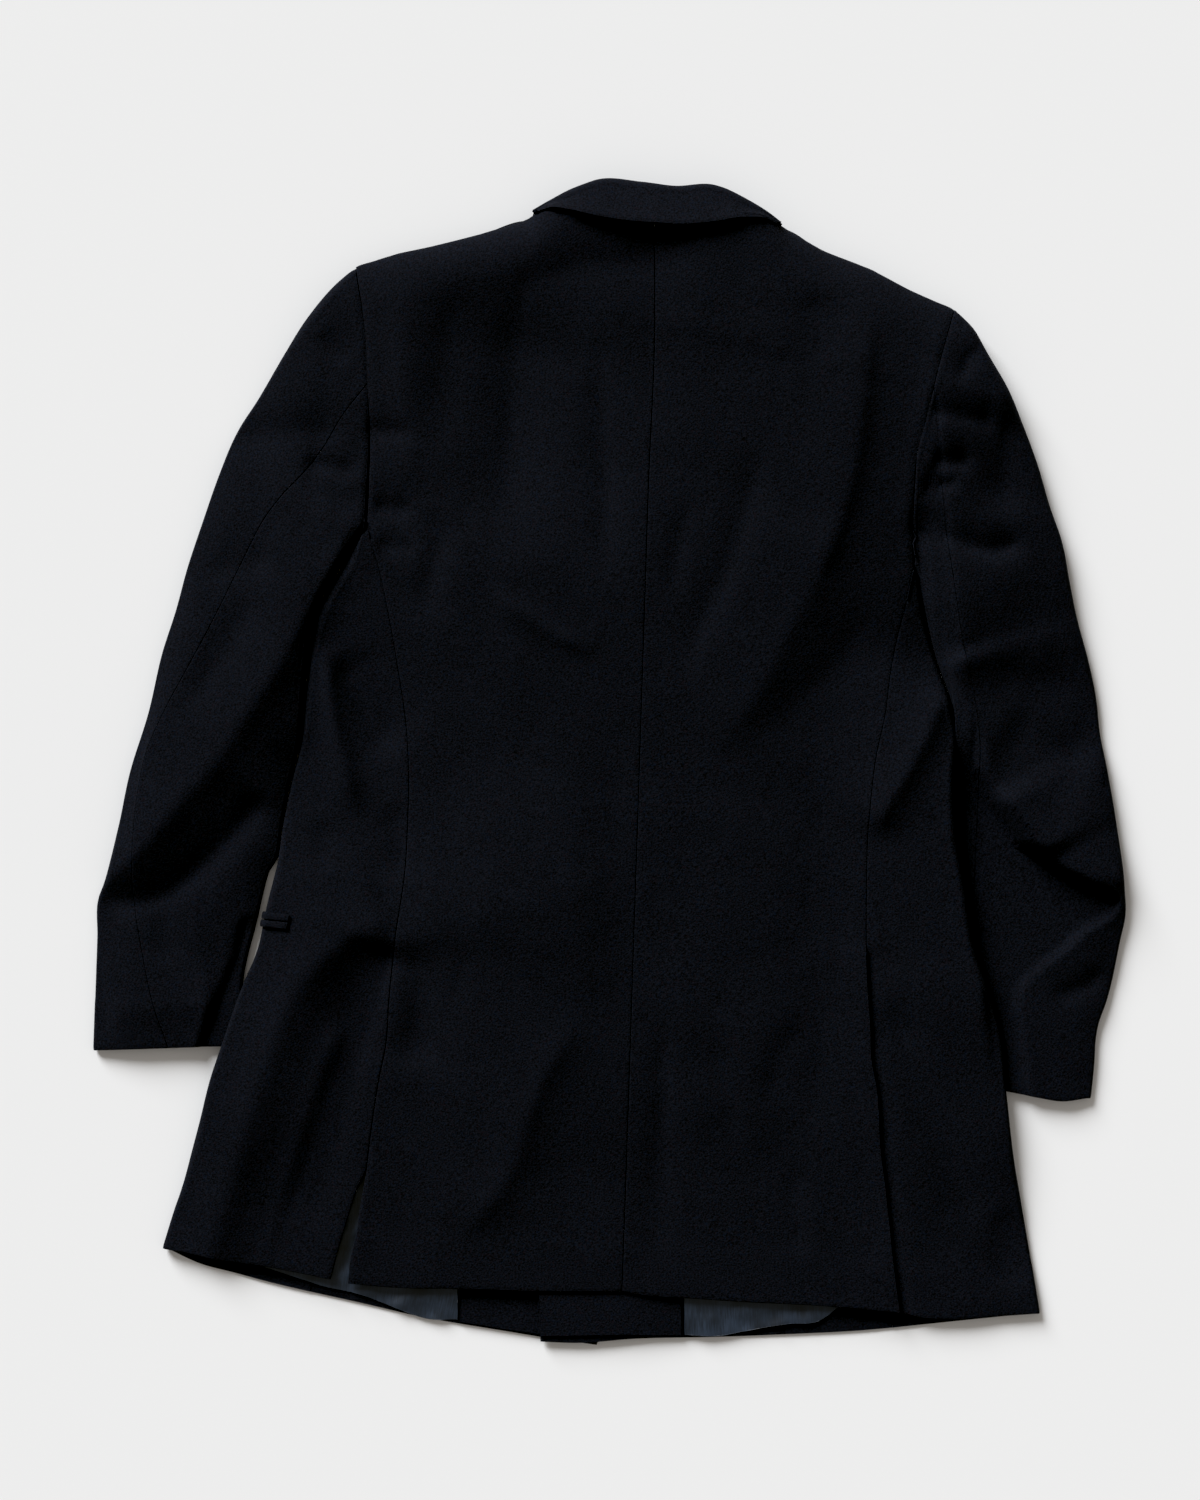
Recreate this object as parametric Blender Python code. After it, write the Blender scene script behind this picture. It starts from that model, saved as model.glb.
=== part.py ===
"""A double-breasted blazer laid flat on its front, with its back up.

Plan positions and heights are in millimetres: x runs across the garment, y runs from the hem
to the collar, and z is the height over the surface that it lies on. Each piece of cloth is a
wall through sections worked out from its seams, its edges and the height of the garment there.
"""

import bmesh
import bpy
import numpy as np

NAME = "double_breasted_blazer"
METRES = 0.001

# Thicknesses and gaps.
WOOL = 1.6
LINING = 1.0
TURNED_BACK = 2.2
JET = 1.0
JET_GAP = 0.4
LAYER_GAP = 0.3
SEAM_GAP = 0.3
STEEPEST_WALL = 1.5
# The radius of a rolled edge is at most this share of its panel's width.
WIDEST_ROLL = 0.4

# The shoulder edge, where the back rolls down to meet the fronts.
SHOULDER_ROLL = 14.0
BACK_RIM = 9.5
FRONT_RIM = 4.5

# How high the inner front lies on the outer one, and how gently it comes off its edge.
CROSSED_LIFT = 3.2
CROSSED_MARGIN = 8.0
CROSSED_RAMP = 80.0
# The inner layers of the inner front clear its slope.
CROSSED_GAP = 0.8

# The cuffs that go under the body's edges.
CUFF_HEIGHT = 5.8
CUFF_MARGIN = 12.0
CUFF_RISE = 0.25

BUTTON_RADIUS = 10.0
BUTTON_THICKNESS = 3.0
BUTTON_DISH_RADIUS = 6.5
BUTTON_DISH_DEPTH = 0.8
BUTTON_SIDES = 20

# How finely the panels and curves are divided.
ARC_STEPS = 5
CURVE_STEPS = 8
SIDE_STEPS = (5, 5)
SLEEVE_STEPS = (4, 3)
SLEEVE_ROWS = 15
COLLAR_ROWS = 16
COLLAR_STEPS = (4, 3)
FRONT_COLUMNS = 11
# Rows of the back along the upper armhole, lower armhole, side seam and vent, and its columns.
BACK_ROWS = (6, 5, 12, 3)
FRONT_HOLE_ROWS = (4, 4)
NECK_COLUMNS = 4
SHOULDER_COLUMNS = 6
# The first rows below a shoulder, as shares of the first full row.
SHOULDER_ROWS = [[0.12], [0.4]]
SHARP_ANGLE = 40

# Seams and edges in plan, as rows of (x, y), from the collar's end to the hem or the cuff.
CENTRE_SEAM = [
    (33, 405), (33, 307), (29, 215), (26, 123), (23, 30), (20, -63), (18, -124), (15, -217),
    (12, -311), (9, -396),
]
NECK_LEFT = [(33, 405), (0, 407), (-26, 409), (-46, 409), (-62, 405)]
NECK_RIGHT = [(33, 405), (67, 405), (93, 406), (112, 405), (130, 399)]
SHOULDER_LEFT = [(-62, 405), (-98, 394), (-134, 385), (-158, 380), (-190, 370)]
SHOULDER_RIGHT = [(130, 399), (159, 382), (195, 368), (223, 353), (257, 338)]
ARMHOLE_UPPER_LEFT = [(-190, 370), (-185, 340), (-182, 312), (-181, 281)]
ARMHOLE_LOWER_LEFT = [(-181, 281), (-179, 252), (-179, 229), (-180, 203), (-181, 173)]
ARMHOLE_UPPER_RIGHT = [(257, 338), (246, 301), (240, 278)]
ARMHOLE_LOWER_RIGHT = [(240, 278), (234, 252), (228, 228), (226, 202), (225, 176), (226, 143)]
SIDE_SEAM_LEFT = [
    (-181, 173), (-174, 151), (-166, 115), (-157, 63), (-153, 36), (-150, -12), (-151, -50),
    (-153, -83), (-160, -131), (-165, -178), (-167, -209), (-173, -240), (-178, -273), (-182, -305),
]
SIDE_SEAM_RIGHT = [
    (226, 143), (221, 119), (215, 96), (209, 66), (205, 36), (198, 4), (193, -39), (191, -104),
    (192, -168), (194, -195), (195, -222), (199, -243), (202, -288), (206, -318),
]
VENT_BACK_LEFT = [(-182, -305), (-187, -334), (-190, -354), (-194, -371), (-196, -390)]
VENT_SIDE_LEFT = [(-182, -305), (-188, -317), (-196, -341), (-202, -361), (-209, -387)]
VENT_RIGHT = [(206, -318), (209, -347), (212, -376), (217, -412)]
BODY_EDGE_LEFT = [
    (-186, 168), (-204, 140), (-219, 113), (-227, 61), (-232, 13), (-239, -16), (-246, -55),
    (-248, -71), (-256, -105), (-265, -145), (-272, -161), (-290, -211), (-299, -238),
    (-306, -266), (-312, -288), (-319, -314), (-327, -338), (-335, -364),
]
BODY_EDGE_RIGHT = [
    (228, 142), (235, 112), (243, 79), (254, 46), (258, 25), (257, -18), (259, -57), (265, -93),
    (274, -146), (282, -170), (290, -196), (296, -246), (301, -290), (307, -325), (314, -365),
    (322, -413),
]
UNDER_SEAM_LEFT = [
    (-176, 166), (-150, 106), (-139, 46), (-139, -16), (-142, -66), (-154, -126), (-169, -178),
    (-188, -238), (-206, -298), (-225, -397),
]
UNDER_SEAM_RIGHT = [
    (220, 136), (202, 92), (180, 46), (161, -16), (154, -66), (158, -126), (169, -178),
    (180, -238), (191, -298), (212, -424),
]
HEM_BACK_LEFT = [(9, -396), (-52, -396), (-113, -394), (-163, -393), (-196, -390)]
HEM_BACK_RIGHT = [
    (9, -396), (25, -399), (58, -401), (103, -404), (146, -406), (174, -408), (217, -412),
]
HEM_SIDE_LEFT = [(-209, -387), (-255, -378), (-300, -371), (-317, -367), (-335, -364)]
HEM_SIDE_RIGHT = [(217, -412), (235, -416), (260, -417), (292, -415), (322, -413)]
HEM_UNDER_LEFT = [(-335, -365), (-310, -376), (-283, -383), (-256, -390), (-225, -397)]
HEM_UNDER_RIGHT = [(322, -413), (261, -419), (212, -424)]
HEM_FRONT_LEFT = [
    (-225, -397), (-180, -407), (-146, -415), (-113, -421), (-82, -426), (-52, -431), (-10, -437),
]
HEM_FRONT_RIGHT = [
    (212, -424), (190, -426), (132, -429), (80, -431), (17, -432), (-25, -435), (-52, -434),
]
ROLL_LEFT = [(-44, 402), (-20, 315), (30, 107), (77, -88)]
ROLL_RIGHT = [(112, 400), (80, 315), (4, 107), (-68, -88)]
FRONT_EDGE_LEFT = [(77, -88), (71, -148), (52, -238), (26, -328), (-10, -437)]
FRONT_EDGE_RIGHT = [(-68, -88), (-67, -148), (-62, -238), (-57, -328), (-52, -434)]
SLEEVE_OUTER_LEFT = [
    (-190, 369), (-198, 363), (-226, 332), (-244, 304), (-263, 272), (-278, 249), (-292, 216),
    (-304, 182), (-316, 146), (-325, 113), (-335, 82), (-345, 38), (-359, -7), (-368, -50),
    (-379, -91), (-383, -101), (-384, -131), (-387, -216),
]
SLEEVE_INNER_LEFT = [
    (-187, 174), (-205, 140), (-220, 113), (-228, 61), (-233, 13), (-240, -16), (-247, -55),
    (-252, -71), (-258, -92), (-264, -118), (-270, -141), (-274, -159), (-275, -186), (-275, -213),
]
SLEEVE_OUTER_RIGHT = [
    (257, 338), (271, 324), (283, 303), (298, 277), (310, 249), (320, 222), (329, 191),
    (338, 165), (344, 134), (350, 105), (358, 76), (364, 48), (367, 21), (373, -10), (379, -46),
    (385, -95), (386, -114), (382, -134), (372, -179), (366, -196), (362, -233), (360, -252),
]
SLEEVE_INNER_RIGHT = [
    (229, 145), (236, 112), (244, 79), (255, 46), (259, 24), (259, -18), (258, -57), (256, -93),
    (255, -133), (252, -178), (249, -208), (246, -237),
]
HINDARM_LEFT = [
    (-181, 281), (-200, 257), (-215, 233), (-229, 215), (-245, 198), (-259, 179), (-269, 160),
    (-281, 136), (-300, 98), (-317, 67), (-331, 41), (-347, 4), (-353, -28), (-356, -66),
    (-356, -103), (-350, -140), (-342, -178), (-330, -214),
]
HINDARM_RIGHT = [
    (240, 278), (243, 240), (246, 210), (249, 180), (255, 136), (262, 91), (270, 54), (275, 16),
    (275, -28), (273, -73), (271, -118), (269, -163), (266, -208), (263, -241),
]
CUFF_LEFT = [(-387, -216), (-359, -215), (-330, -214), (-300, -213), (-275, -213)]
CUFF_RIGHT = [(360, -252), (340, -254), (322, -251), (297, -246), (273, -242), (246, -237)]
COLLAR_FOLD = [
    (-58, 412), (-47, 418), (-29, 427), (-21, 430), (-9, 434), (24, 432), (48, 429), (77, 430),
    (84, 428), (97, 422), (120, 409), (128, 403),
]
COLLAR_LEAF = [
    (-57, 409), (-44, 412), (-32, 410), (-13, 405), (9, 401), (32, 399), (55, 398), (77, 400),
    (100, 404), (114, 404), (126, 400),
]
COLLAR_NECK = [
    (-57, 408), (-46, 411), (-26, 411), (0, 409), (33, 407), (67, 407), (93, 408), (112, 407),
    (128, 401),
]
LAPEL_OUTER_LEFT = [(-118, 300), (-92, 220), (-50, 130), (0, 40), (48, -42), (70, -76)]
LAPEL_OUTER_RIGHT = [(182, 300), (158, 220), (112, 140), (54, 66)]
LAPEL_ROLL_LEFT = [(-21, 318), (30, 107), (74, -76)]
LAPEL_ROLL_RIGHT = [(80, 315), (27, 158), (28, 120), (46, 62)]
LINING_HEM_LEFT = [
    (-296, -367), (-242, -384), (-214, -393), (-187, -399), (-163, -408), (-137, -417), (-114, -418),
]
LINING_HEM_RIGHT = [
    (56, -429), (80, -430), (103, -426), (132, -421), (160, -422), (217, -415), (281, -408),
]
LINING_TOP_LEFT = [(-292, -300), (-200, -296), (-114, -296)]
LINING_TOP_RIGHT = [(54, -350), (150, -350), (276, -350)]
FACING_LEFT = {
    "left": [(-112, -350), (-112, -420)], "right": [(18, -350), (-10, -433)],
    "top": [(-112, -350), (18, -350)], "bottom": [(-112, -420), (-52, -429), (-10, -433)],
}
FACING_RIGHT = {
    "left": [(-56, -350), (-52, -430)], "right": [(52, -350), (54, -430)],
    "top": [(-56, -350), (52, -350)], "bottom": [(-52, -430), (17, -429), (54, -430)],
}

# Heights of the body's upper surface over what the body rests on, as rows of (y, height).
CROWN = [
    (-400, 10), (-328, 11.5), (-215, 13), (-103, 15), (9, 18), (122, 22), (235, 26), (325, 27),
    (410, 25),
]
SIDE = [(-405, 6), (-180, 6.5), (-28, 7), (120, 8.5), (170, 11), (212, 17), (272, 20), (370, 20)]
# The line that the shoulders roll over, as rows of (x, y). It passes far above the neck.
SHOULDER_LINE = [
    (-190, 370), (-158, 380), (-134, 385), (-98, 394), (-62, 405), (-30, 440), (100, 440),
    (130, 399), (159, 382), (195, 368), (223, 353), (257, 338),
]
# Heights of a sleeve at its middle and its edges, as rows of (share of its length, height).
SLEEVE_CROWN = [(0, 20), (0.2, 17), (0.45, 15), (0.7, 13), (0.85, 10), (1, 9)]
SLEEVE_EDGE = [(0, 12), (0.15, 10), (0.4, 8), (0.7, 6.5), (1, 5.6)]
# The leaf clears the back from this far above the neck seam.
NECK_MARGIN = 2.0
# Heights along the collar, as rows of (share of its length, height).
FALL_HEIGHT = [(0, 15), (0.08, 27), (0.2, 32), (0.5, 34), (0.8, 32), (0.92, 27), (1, 15)]
STAND_HEIGHT = [(0, 7.5), (0.08, 17), (0.2, 23), (0.5, 24), (0.8, 23), (0.92, 17), (1, 7.5)]

# The largest folds of the upper surface, as rows of name, depth (negative in a trough), width
# and path of (x, y).
FOLDS = [
    ("right blade trough", -5, 22, [(206, 334), (192, 240), (173, 161), (154, 84), (80, 5)]),
    ("right blade ridge", 3, 24, [(160, 300), (140, 200), (110, 110)]),
    ("left blade hollow", -5, 38, [(-120, 370), (-100, 300), (-78, 240)]),
    ("crescent", -3, 13, [(-71, 121), (-45, 90), (-14, 83)]),
    ("left armpit drag", -3, 14, [(-208, 84), (-186, 48), (-163, 12)]),
    ("right armpit drag", -3.5, 16, [(250, 46), (228, -3), (204, -48)]),
    ("left skirt upper trough", -3.5, 18, [(-163, -131), (-194, -167), (-230, -209)]),
    ("left skirt lower trough", -3, 18, [(-198, -223), (-231, -282), (-262, -344), (-272, -372)]),
    ("waist drag", -2.5, 22, [(-89, -116), (-10, -100)]),
    ("low centre fold", -2.5, 22, [(-22, -230), (-72, -304)]),
    ("left elbow trough", -5, 16, [(-232, 55), (-276, -21), (-328, -73), (-376, -95)]),
    ("left elbow ridge", 3, 16, [(-262, 75), (-305, 0), (-350, -50)]),
    ("right elbow trough", -4, 10, [(276, -20), (289, -95), (318, -160), (348, -158), (376, -128)]),
    ("right elbow ridge", 3, 14, [(290, -5), (312, -85), (334, -120), (366, -95)]),
    ("right sleeve hollow", -3, 20, [(280, 110), (302, 76), (330, 60)]),
    ("left sleeve crease", -2.5, 12, [(-235, 270), (-201, 221), (-187, 196)]),
]

# The share of a fold's length over which it fades out at each end.
FOLD_FADE = 0.3

# What lifts the underside from the surface below: x0, y0, x1, y1, radius, height, ramp.
LIFTS = {
    "left cuff": (-292, -145, -292, -216, 36, 6.8, 40),
    "right cuff": (292, -40, 292, -218, 56, 6.8, 40),
    "left pocket": (-262, -116, -150, -134, 36, 2.0, 30),
    "right pocket": (240, -116, 160, -120, 30, 2.0, 30),
    "left lapel, wide end": (-72, 295, -40, 200, 68, 2.8, 30),
    "left lapel, narrow end": (-40, 200, 62, -62, 45, 2.8, 30),
    "right lapel, wide end": (128, 295, 100, 190, 68, 2.8, 30),
    "right lapel, narrow end": (100, 190, 50, 75, 45, 2.8, 30),
    "left collar end": (-66, 372, -62, 345, 50, 2.8, 30),
    "right collar end": (132, 366, 122, 345, 50, 2.8, 30),
    "upper buttons": (62, -96, -29, -96, 52, 3.6, 30),
    "lower buttons": (56, -194, -29, -194, 52, 3.6, 30),
}
# The jets of a pocket: the y of each one's edges, and the side panel's rows above and below them.
JET_EDGES = {"upper": (-112.0, -117.0), "lower": (-117.8, -122.8)}
POCKET_ROWS = [-110.0, -125.0]
# The side panel's columns that each pocket runs between. It runs round the edge on the left.
JET_COLUMNS = {"left": (4.2, 14.6), "right": (11.6, 14.6)}
BUTTON_PLACES = [(62, -96), (-29, -96), (56, -194), (-29, -194)]

# Plain collar ends on the fronts, each as two rails of (x, y) from the neck to the gorge.
COLLAR_END_LEFT = {"inner": [(-52, 400), (-24, 334)], "outer": [(-80, 390), (-98, 332)]}
COLLAR_END_RIGHT = {"inner": [(118, 396), (86, 332)], "outer": [(150, 378), (160, 322)]}

COLOURS = {
    "wool": ((0.006, 0.007, 0.010, 1.0), 0.92),
    "lining": ((0.030, 0.042, 0.062, 1.0), 0.45),
    "horn": ((0.012, 0.010, 0.009, 1.0), 0.40),
}


def smooth(table):
    """Points close together on a smooth curve through a table's rows."""
    points = np.array(table, float)
    moved = np.hypot(*np.diff(points, axis=0).T) > 1e-3
    points = points[np.concatenate([[True], moved])]
    chord = np.hypot(*np.diff(points, axis=0).T)[:, None]
    slope = np.diff(points, axis=0) / chord
    middle = (slope[:-1] * chord[1:] + slope[1:] * chord[:-1]) / (chord[:-1] + chord[1:])
    tangent = np.vstack([slope[:1], middle, slope[-1:]])
    t = np.linspace(0, 1, CURVE_STEPS, endpoint=False)[:, None]
    pieces = []
    for i, length in enumerate(chord):
        start = (2 * t**3 - 3 * t**2 + 1) * points[i] + (t**3 - 2 * t**2 + t) * length * tangent[i]
        end = (3 * t**2 - 2 * t**3) * points[i + 1] + (t**3 - t**2) * length * tangent[i + 1]
        pieces.append(start + end)
    return np.vstack(pieces + [points[-1:]])


def shares(points):
    """How far along a line each of its points is, from 0 to 1."""
    length = np.concatenate([[0], np.cumsum(np.hypot(*np.diff(points, axis=0).T))])
    return length / length[-1]


def along(table, places):
    """Points at these shares of the length of the smooth curve through a table's rows."""
    line = smooth(table)
    reached = shares(line)
    return np.column_stack([np.interp(places, reached, line[:, k]) for k in (0, 1)])


def joined(*stretches):
    """One line of points through several tables, each divided into its own number of steps."""
    lines = [along(table, np.linspace(0, 1, steps + 1)) for table, steps in stretches]
    return np.vstack([lines[0]] + [line[1:] for line in lines[1:]])


def level(table, key):
    """The second column of a table's smooth curve, read at a value of its first column."""
    rows = np.array(sorted(table), float)
    return np.interp(key, rows[:, 0], rows[:, 1])


def ease(t):
    """A soft step from 0 to 1."""
    t = np.clip(t, 0, 1)
    return t * t * (3 - 2 * t)


def line_distance(x, y, path):
    """How far a point is from a path of (x, y) rows, and the share of the path that it lies at."""
    line = smooth(path) if len(path) > 2 else np.array(path, float)
    reached = shares(line)
    best = np.full(np.shape(x), np.inf)
    share = np.zeros(np.shape(x))
    for (ax, ay), (bx, by), start, end in zip(line[:-1], line[1:], reached[:-1], reached[1:]):
        run = (bx - ax) ** 2 + (by - ay) ** 2
        t = np.clip(((x - ax) * (bx - ax) + (y - ay) * (by - ay)) / run, 0, 1)
        distance = np.hypot(x - ax - t * (bx - ax), y - ay - t * (by - ay))
        share = np.where(distance < best, start + t * (end - start), share)
        best = np.minimum(distance, best)
    return best, share


def folds(x, y):
    """How far the largest folds raise or lower the upper surface. Each fades out at its ends."""
    total = np.zeros(np.shape(x))
    for _, depth, width, path in FOLDS:
        distance, share = line_distance(x, y, path)
        fade = ease(share / FOLD_FADE) * ease((1 - share) / FOLD_FADE)
        total = total + depth * fade * np.exp(-((distance / width) ** 2))
    return total


def rest(x, y):
    """The height of the underside: 0 where it lies on the surface, more over what lifts it."""
    height = np.zeros(np.shape(x))
    for x0, y0, x1, y1, radius, lift, ramp in LIFTS.values():
        run = max((x1 - x0) ** 2 + (y1 - y0) ** 2, 1e-6)
        t = np.clip(((x - x0) * (x1 - x0) + (y - y0) * (y1 - y0)) / run, 0, 1)
        distance = np.hypot(x - x0 - t * (x1 - x0), y - y0 - t * (y1 - y0))
        height = np.maximum(height, lift * (1 - ease((distance - radius) / ramp)))
    return height


def body_side(y, side):
    """The x of the body's outline at this y, through the armhole and down the body's edge."""
    if side == "left":
        line = ARMHOLE_UPPER_LEFT + ARMHOLE_LOWER_LEFT[1:] + BODY_EDGE_LEFT
    else:
        line = ARMHOLE_UPPER_RIGHT + ARMHOLE_LOWER_RIGHT[1:] + BODY_EDGE_RIGHT
    return level([(row_y, row_x) for row_x, row_y in line], y)


def body_height(x, y):
    """The height of the body's upper surface."""
    left = body_side(y, "left")
    right = body_side(y, "right")
    across = np.clip((x - left) / (right - left), 0, 1)
    side = level(SIDE, y)
    crown = side + (level(CROWN, y) - side) * (1 - np.abs(2 * across - 1) ** 4)
    full = rest(x, y) + crown + folds(x, y)
    inside = np.clip(level(SHOULDER_LINE, x) - y, 0, SHOULDER_ROLL) / SHOULDER_ROLL
    return BACK_RIM + (full - BACK_RIM) * np.sqrt(1 - (1 - inside) ** 2)


def front_height(x, y):
    """The height of the fronts' underside, which rises to meet the back along the shoulders."""
    inside = np.clip(level(SHOULDER_LINE, x) - y, 0, SHOULDER_ROLL) / SHOULDER_ROLL
    return np.maximum(rest(x, y), FRONT_RIM * (1 - np.sqrt(1 - (1 - inside) ** 2)))


def crossed_height(x, y):
    """The height of the inner front's underside, which lies on the outer front where they cross."""
    roll = [(row_y, row_x) for row_x, row_y in ROLL_LEFT[:-1] + FRONT_EDGE_LEFT]
    past = x - level(roll, y) - CROSSED_MARGIN
    return front_height(x, y) + CROSSED_LIFT * (1 - ease(past / CROSSED_RAMP))


def patch(left, right, top, bottom, rows, columns):
    """A grid of plan points between four edges, whose corners are the ends of left and right."""
    v = rows[:, None, None]
    u = columns[None, :, None]
    near = (1 - columns)[:, None]
    far = columns[:, None]
    top = top + near * (left[0] - top[0]) + far * (right[0] - top[-1])
    bottom = bottom + near * (left[-1] - bottom[0]) + far * (right[-1] - bottom[-1])
    sides = (1 - u) * left[:, None] + u * right[:, None]
    ends = (1 - v) * top[None] + v * bottom[None]
    corners_top = (1 - u) * left[0] + u * right[0]
    corners_bottom = (1 - u) * left[-1] + u * right[-1]
    return sides + ends - (1 - v) * corners_top - v * corners_bottom


def drawn_in(grid, gap):
    """A plan grid whose four edges stand back by this gap."""
    grid = grid.copy()
    edges = (np.s_[:, 0], np.s_[:, -1], np.s_[0], np.s_[-1])
    inners = (np.s_[:, 1], np.s_[:, -2], np.s_[1], np.s_[-2])
    for edge, inner in zip(edges, inners):
        step = grid[inner] - grid[edge]
        grid[edge] += step * gap / np.hypot(*step.T)[:, None]
    return grid


def thickness(plan, height, wall):
    """The wall's upright thickness at plan points, more where the surface is steep."""
    x, y = plan[..., 0], plan[..., 1]
    slope_x = height(x + 1, y) - height(x - 1, y)
    slope_y = height(x, y + 1) - height(x, y - 1)
    return wall * np.minimum(np.sqrt(1 + (slope_x**2 + slope_y**2) / 4), STEEPEST_WALL)


def with_height(plan, z):
    """Plan points with their heights."""
    return np.concatenate([plan, np.broadcast_to(z, plan.shape[:2])[..., None]], axis=2)


def material(name):
    """The named finish, made once."""
    if name in bpy.data.materials:
        return bpy.data.materials[name]
    made = bpy.data.materials.new(name)
    made.use_nodes = True
    shader = made.node_tree.nodes["Principled BSDF"]
    colour, roughness = COLOURS[name]
    shader.inputs["Base Color"].default_value = colour
    shader.inputs["Roughness"].default_value = roughness
    shader.inputs["Metallic"].default_value = 0.0
    return made


def add_object(name, mesh, finish, collection):
    """An object of this mesh, with its finish and shading."""
    piece = bpy.data.objects.new(name, mesh)
    mesh.materials.append(material(finish))
    mesh.shade_smooth()
    mesh.set_sharp_from_angle(angle=np.radians(SHARP_ANGLE))
    collection.objects.link(piece)
    return piece


def wall(name, outer, inner, finish, collection):
    """A closed wall between an outer and an inner grid of points."""
    rows, columns = outer.shape[:2]
    bm = bmesh.new()
    faces = []
    for grid in (outer, inner):
        faces.append([[bm.verts.new(point * METRES) for point in row] for row in grid])
    out, back = faces
    for i in range(rows - 1):
        for j in range(columns - 1):
            bm.faces.new((out[i][j], out[i][j + 1], out[i + 1][j + 1], out[i + 1][j]))
            bm.faces.new((back[i][j], back[i + 1][j], back[i + 1][j + 1], back[i][j + 1]))
    around = [(i, 0) for i in range(rows)]
    around += [(rows - 1, j) for j in range(1, columns)]
    around += [(i, columns - 1) for i in range(rows - 2, -1, -1)]
    around += [(0, j) for j in range(columns - 2, 0, -1)]
    for (i, j), (k, m) in zip(around, around[1:] + around[:1]):
        bm.faces.new((out[i][j], out[k][m], back[k][m], back[i][j]))
    bmesh.ops.recalc_face_normals(bm, faces=bm.faces)
    mesh = bpy.data.meshes.new(name)
    bm.to_mesh(mesh)
    bm.free()
    return add_object(name, mesh, finish, collection)


def upper_panel(name, plan, collection):
    """A panel of the body's upper surface, with its wall below that surface."""
    top = body_height(plan[..., 0], plan[..., 1])
    outer = with_height(plan, top)
    inner = with_height(plan, top - thickness(plan, body_height, WOOL))
    return wall(name, outer, inner, "wool", collection)


def lower_panel(name, plan, height, collection):
    """A panel of the underside, with its wall above that side."""
    bottom = height(plan[..., 0], plan[..., 1])
    outer = with_height(plan, bottom)
    inner = with_height(plan, bottom + thickness(plan, height, WOOL))
    return wall(name, outer, inner, "wool", collection)


def layer(name, plan, bottom, thick, finish, collection):
    """A flat layer of cloth, from the height of its underside."""
    outer = with_height(plan, bottom + thick)
    return wall(name, outer, with_height(plan, bottom), finish, collection)


def wrapped(upper, edge, lower, ends, steps, height, floor, rows):
    """The outer and inner grids of a wall that wraps round an edge to the underside.

    upper, edge and lower are lines of plan points with a row for each section. ends holds the
    tables of the first and last sections, above and below. steps holds the columns above and
    below. height and floor give the upper and lower surfaces at plan points.
    """
    inward = upper - edge
    width = np.hypot(*inward.T)
    inward = inward / width[:, None]
    tall = height(edge[:, None])[:, 0] - floor(edge[:, 0], edge[:, 1])
    radius = np.minimum(tall / 2, WIDEST_ROLL * width)
    shoulder = edge + inward * radius[:, None]
    grids = []
    for left, right, part, count in (
        (upper, shoulder, "above", steps[0]),
        (shoulder, lower, "below", steps[1]),
    ):
        columns = np.linspace(0, 1, count + 1)
        top = along(ends[f"top {part}"], columns)
        last = along(ends[f"last {part}"], columns)
        grids.append(drawn_in(patch(left, right, top, last, rows, columns), SEAM_GAP / 2))
    above, below = grids
    above[:, -1] = below[:, 0] = (above[:, -1] + below[:, 0]) / 2
    high = height(above)
    low = floor(below[..., 0], below[..., 1])
    thick = thickness_of(high, above)
    middle = (high[:, -1] + low[:, 0]) / 2
    half = (high[:, -1] - low[:, 0]) / 2
    outer_arc = []
    inner_arc = []
    for angle in np.linspace(np.pi / 2, -np.pi / 2, ARC_STEPS + 1)[1:-1]:
        for arc, less in ((outer_arc, 0), (inner_arc, WOOL)):
            reach = np.maximum(radius - less, SEAM_GAP)[:, None] * np.cos(angle)
            plan = above[:, -1] - inward * reach
            arc.append(np.column_stack([plan, middle + (half - less) * np.sin(angle)]))
    outer_arc = np.stack(outer_arc, axis=1)
    inner_arc = np.stack(inner_arc, axis=1)
    outer = [with_height(above, high), outer_arc, with_height(below, low)]
    inner = [with_height(above, high - thick), inner_arc, with_height(below, low + WOOL)]
    return np.concatenate(outer, axis=1), np.concatenate(inner, axis=1)


def thickness_of(high, plan):
    """The wall's upright thickness from a grid of heights, the plain one at its last column."""
    run = np.hypot(*np.moveaxis(np.diff(plan, axis=1), 2, 0))
    slope = np.abs(np.diff(high, axis=1)) / run
    steeper = np.maximum(slope[:, 1:], slope[:, :-1])
    slope = np.concatenate([slope[:, :1], steeper, slope[:, -1:]], axis=1)
    thick = WOOL * np.minimum(np.sqrt(1 + slope**2), STEEPEST_WALL)
    thick[:, -1] = WOOL
    return thick


def back_panels(collection):
    """The two halves of the back, from the centre seam to the armholes and side seams."""
    halves = {
        "left": {
            "neck": NECK_LEFT, "shoulder": SHOULDER_LEFT, "hem": HEM_BACK_LEFT,
            "outline": (ARMHOLE_UPPER_LEFT, ARMHOLE_LOWER_LEFT, SIDE_SEAM_LEFT, VENT_BACK_LEFT),
        },
        "right": {
            "neck": NECK_RIGHT, "shoulder": SHOULDER_RIGHT, "hem": HEM_BACK_RIGHT,
            "outline": (ARMHOLE_UPPER_RIGHT, ARMHOLE_LOWER_RIGHT, SIDE_SEAM_RIGHT, VENT_RIGHT),
        },
    }
    for side, tables in halves.items():
        outline = with_shoulder_rows(joined(*zip(tables["outline"], BACK_ROWS)))
        rows = shares(outline)
        top = joined((tables["neck"], NECK_COLUMNS), (tables["shoulder"], SHOULDER_COLUMNS))
        columns = shares(top)
        hem = along(tables["hem"], columns)
        plan = patch(along(CENTRE_SEAM, rows), outline, top, hem, rows, columns)
        upper_panel(f"back_{side}", drawn_in(plan, SEAM_GAP / 2), collection)


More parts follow.
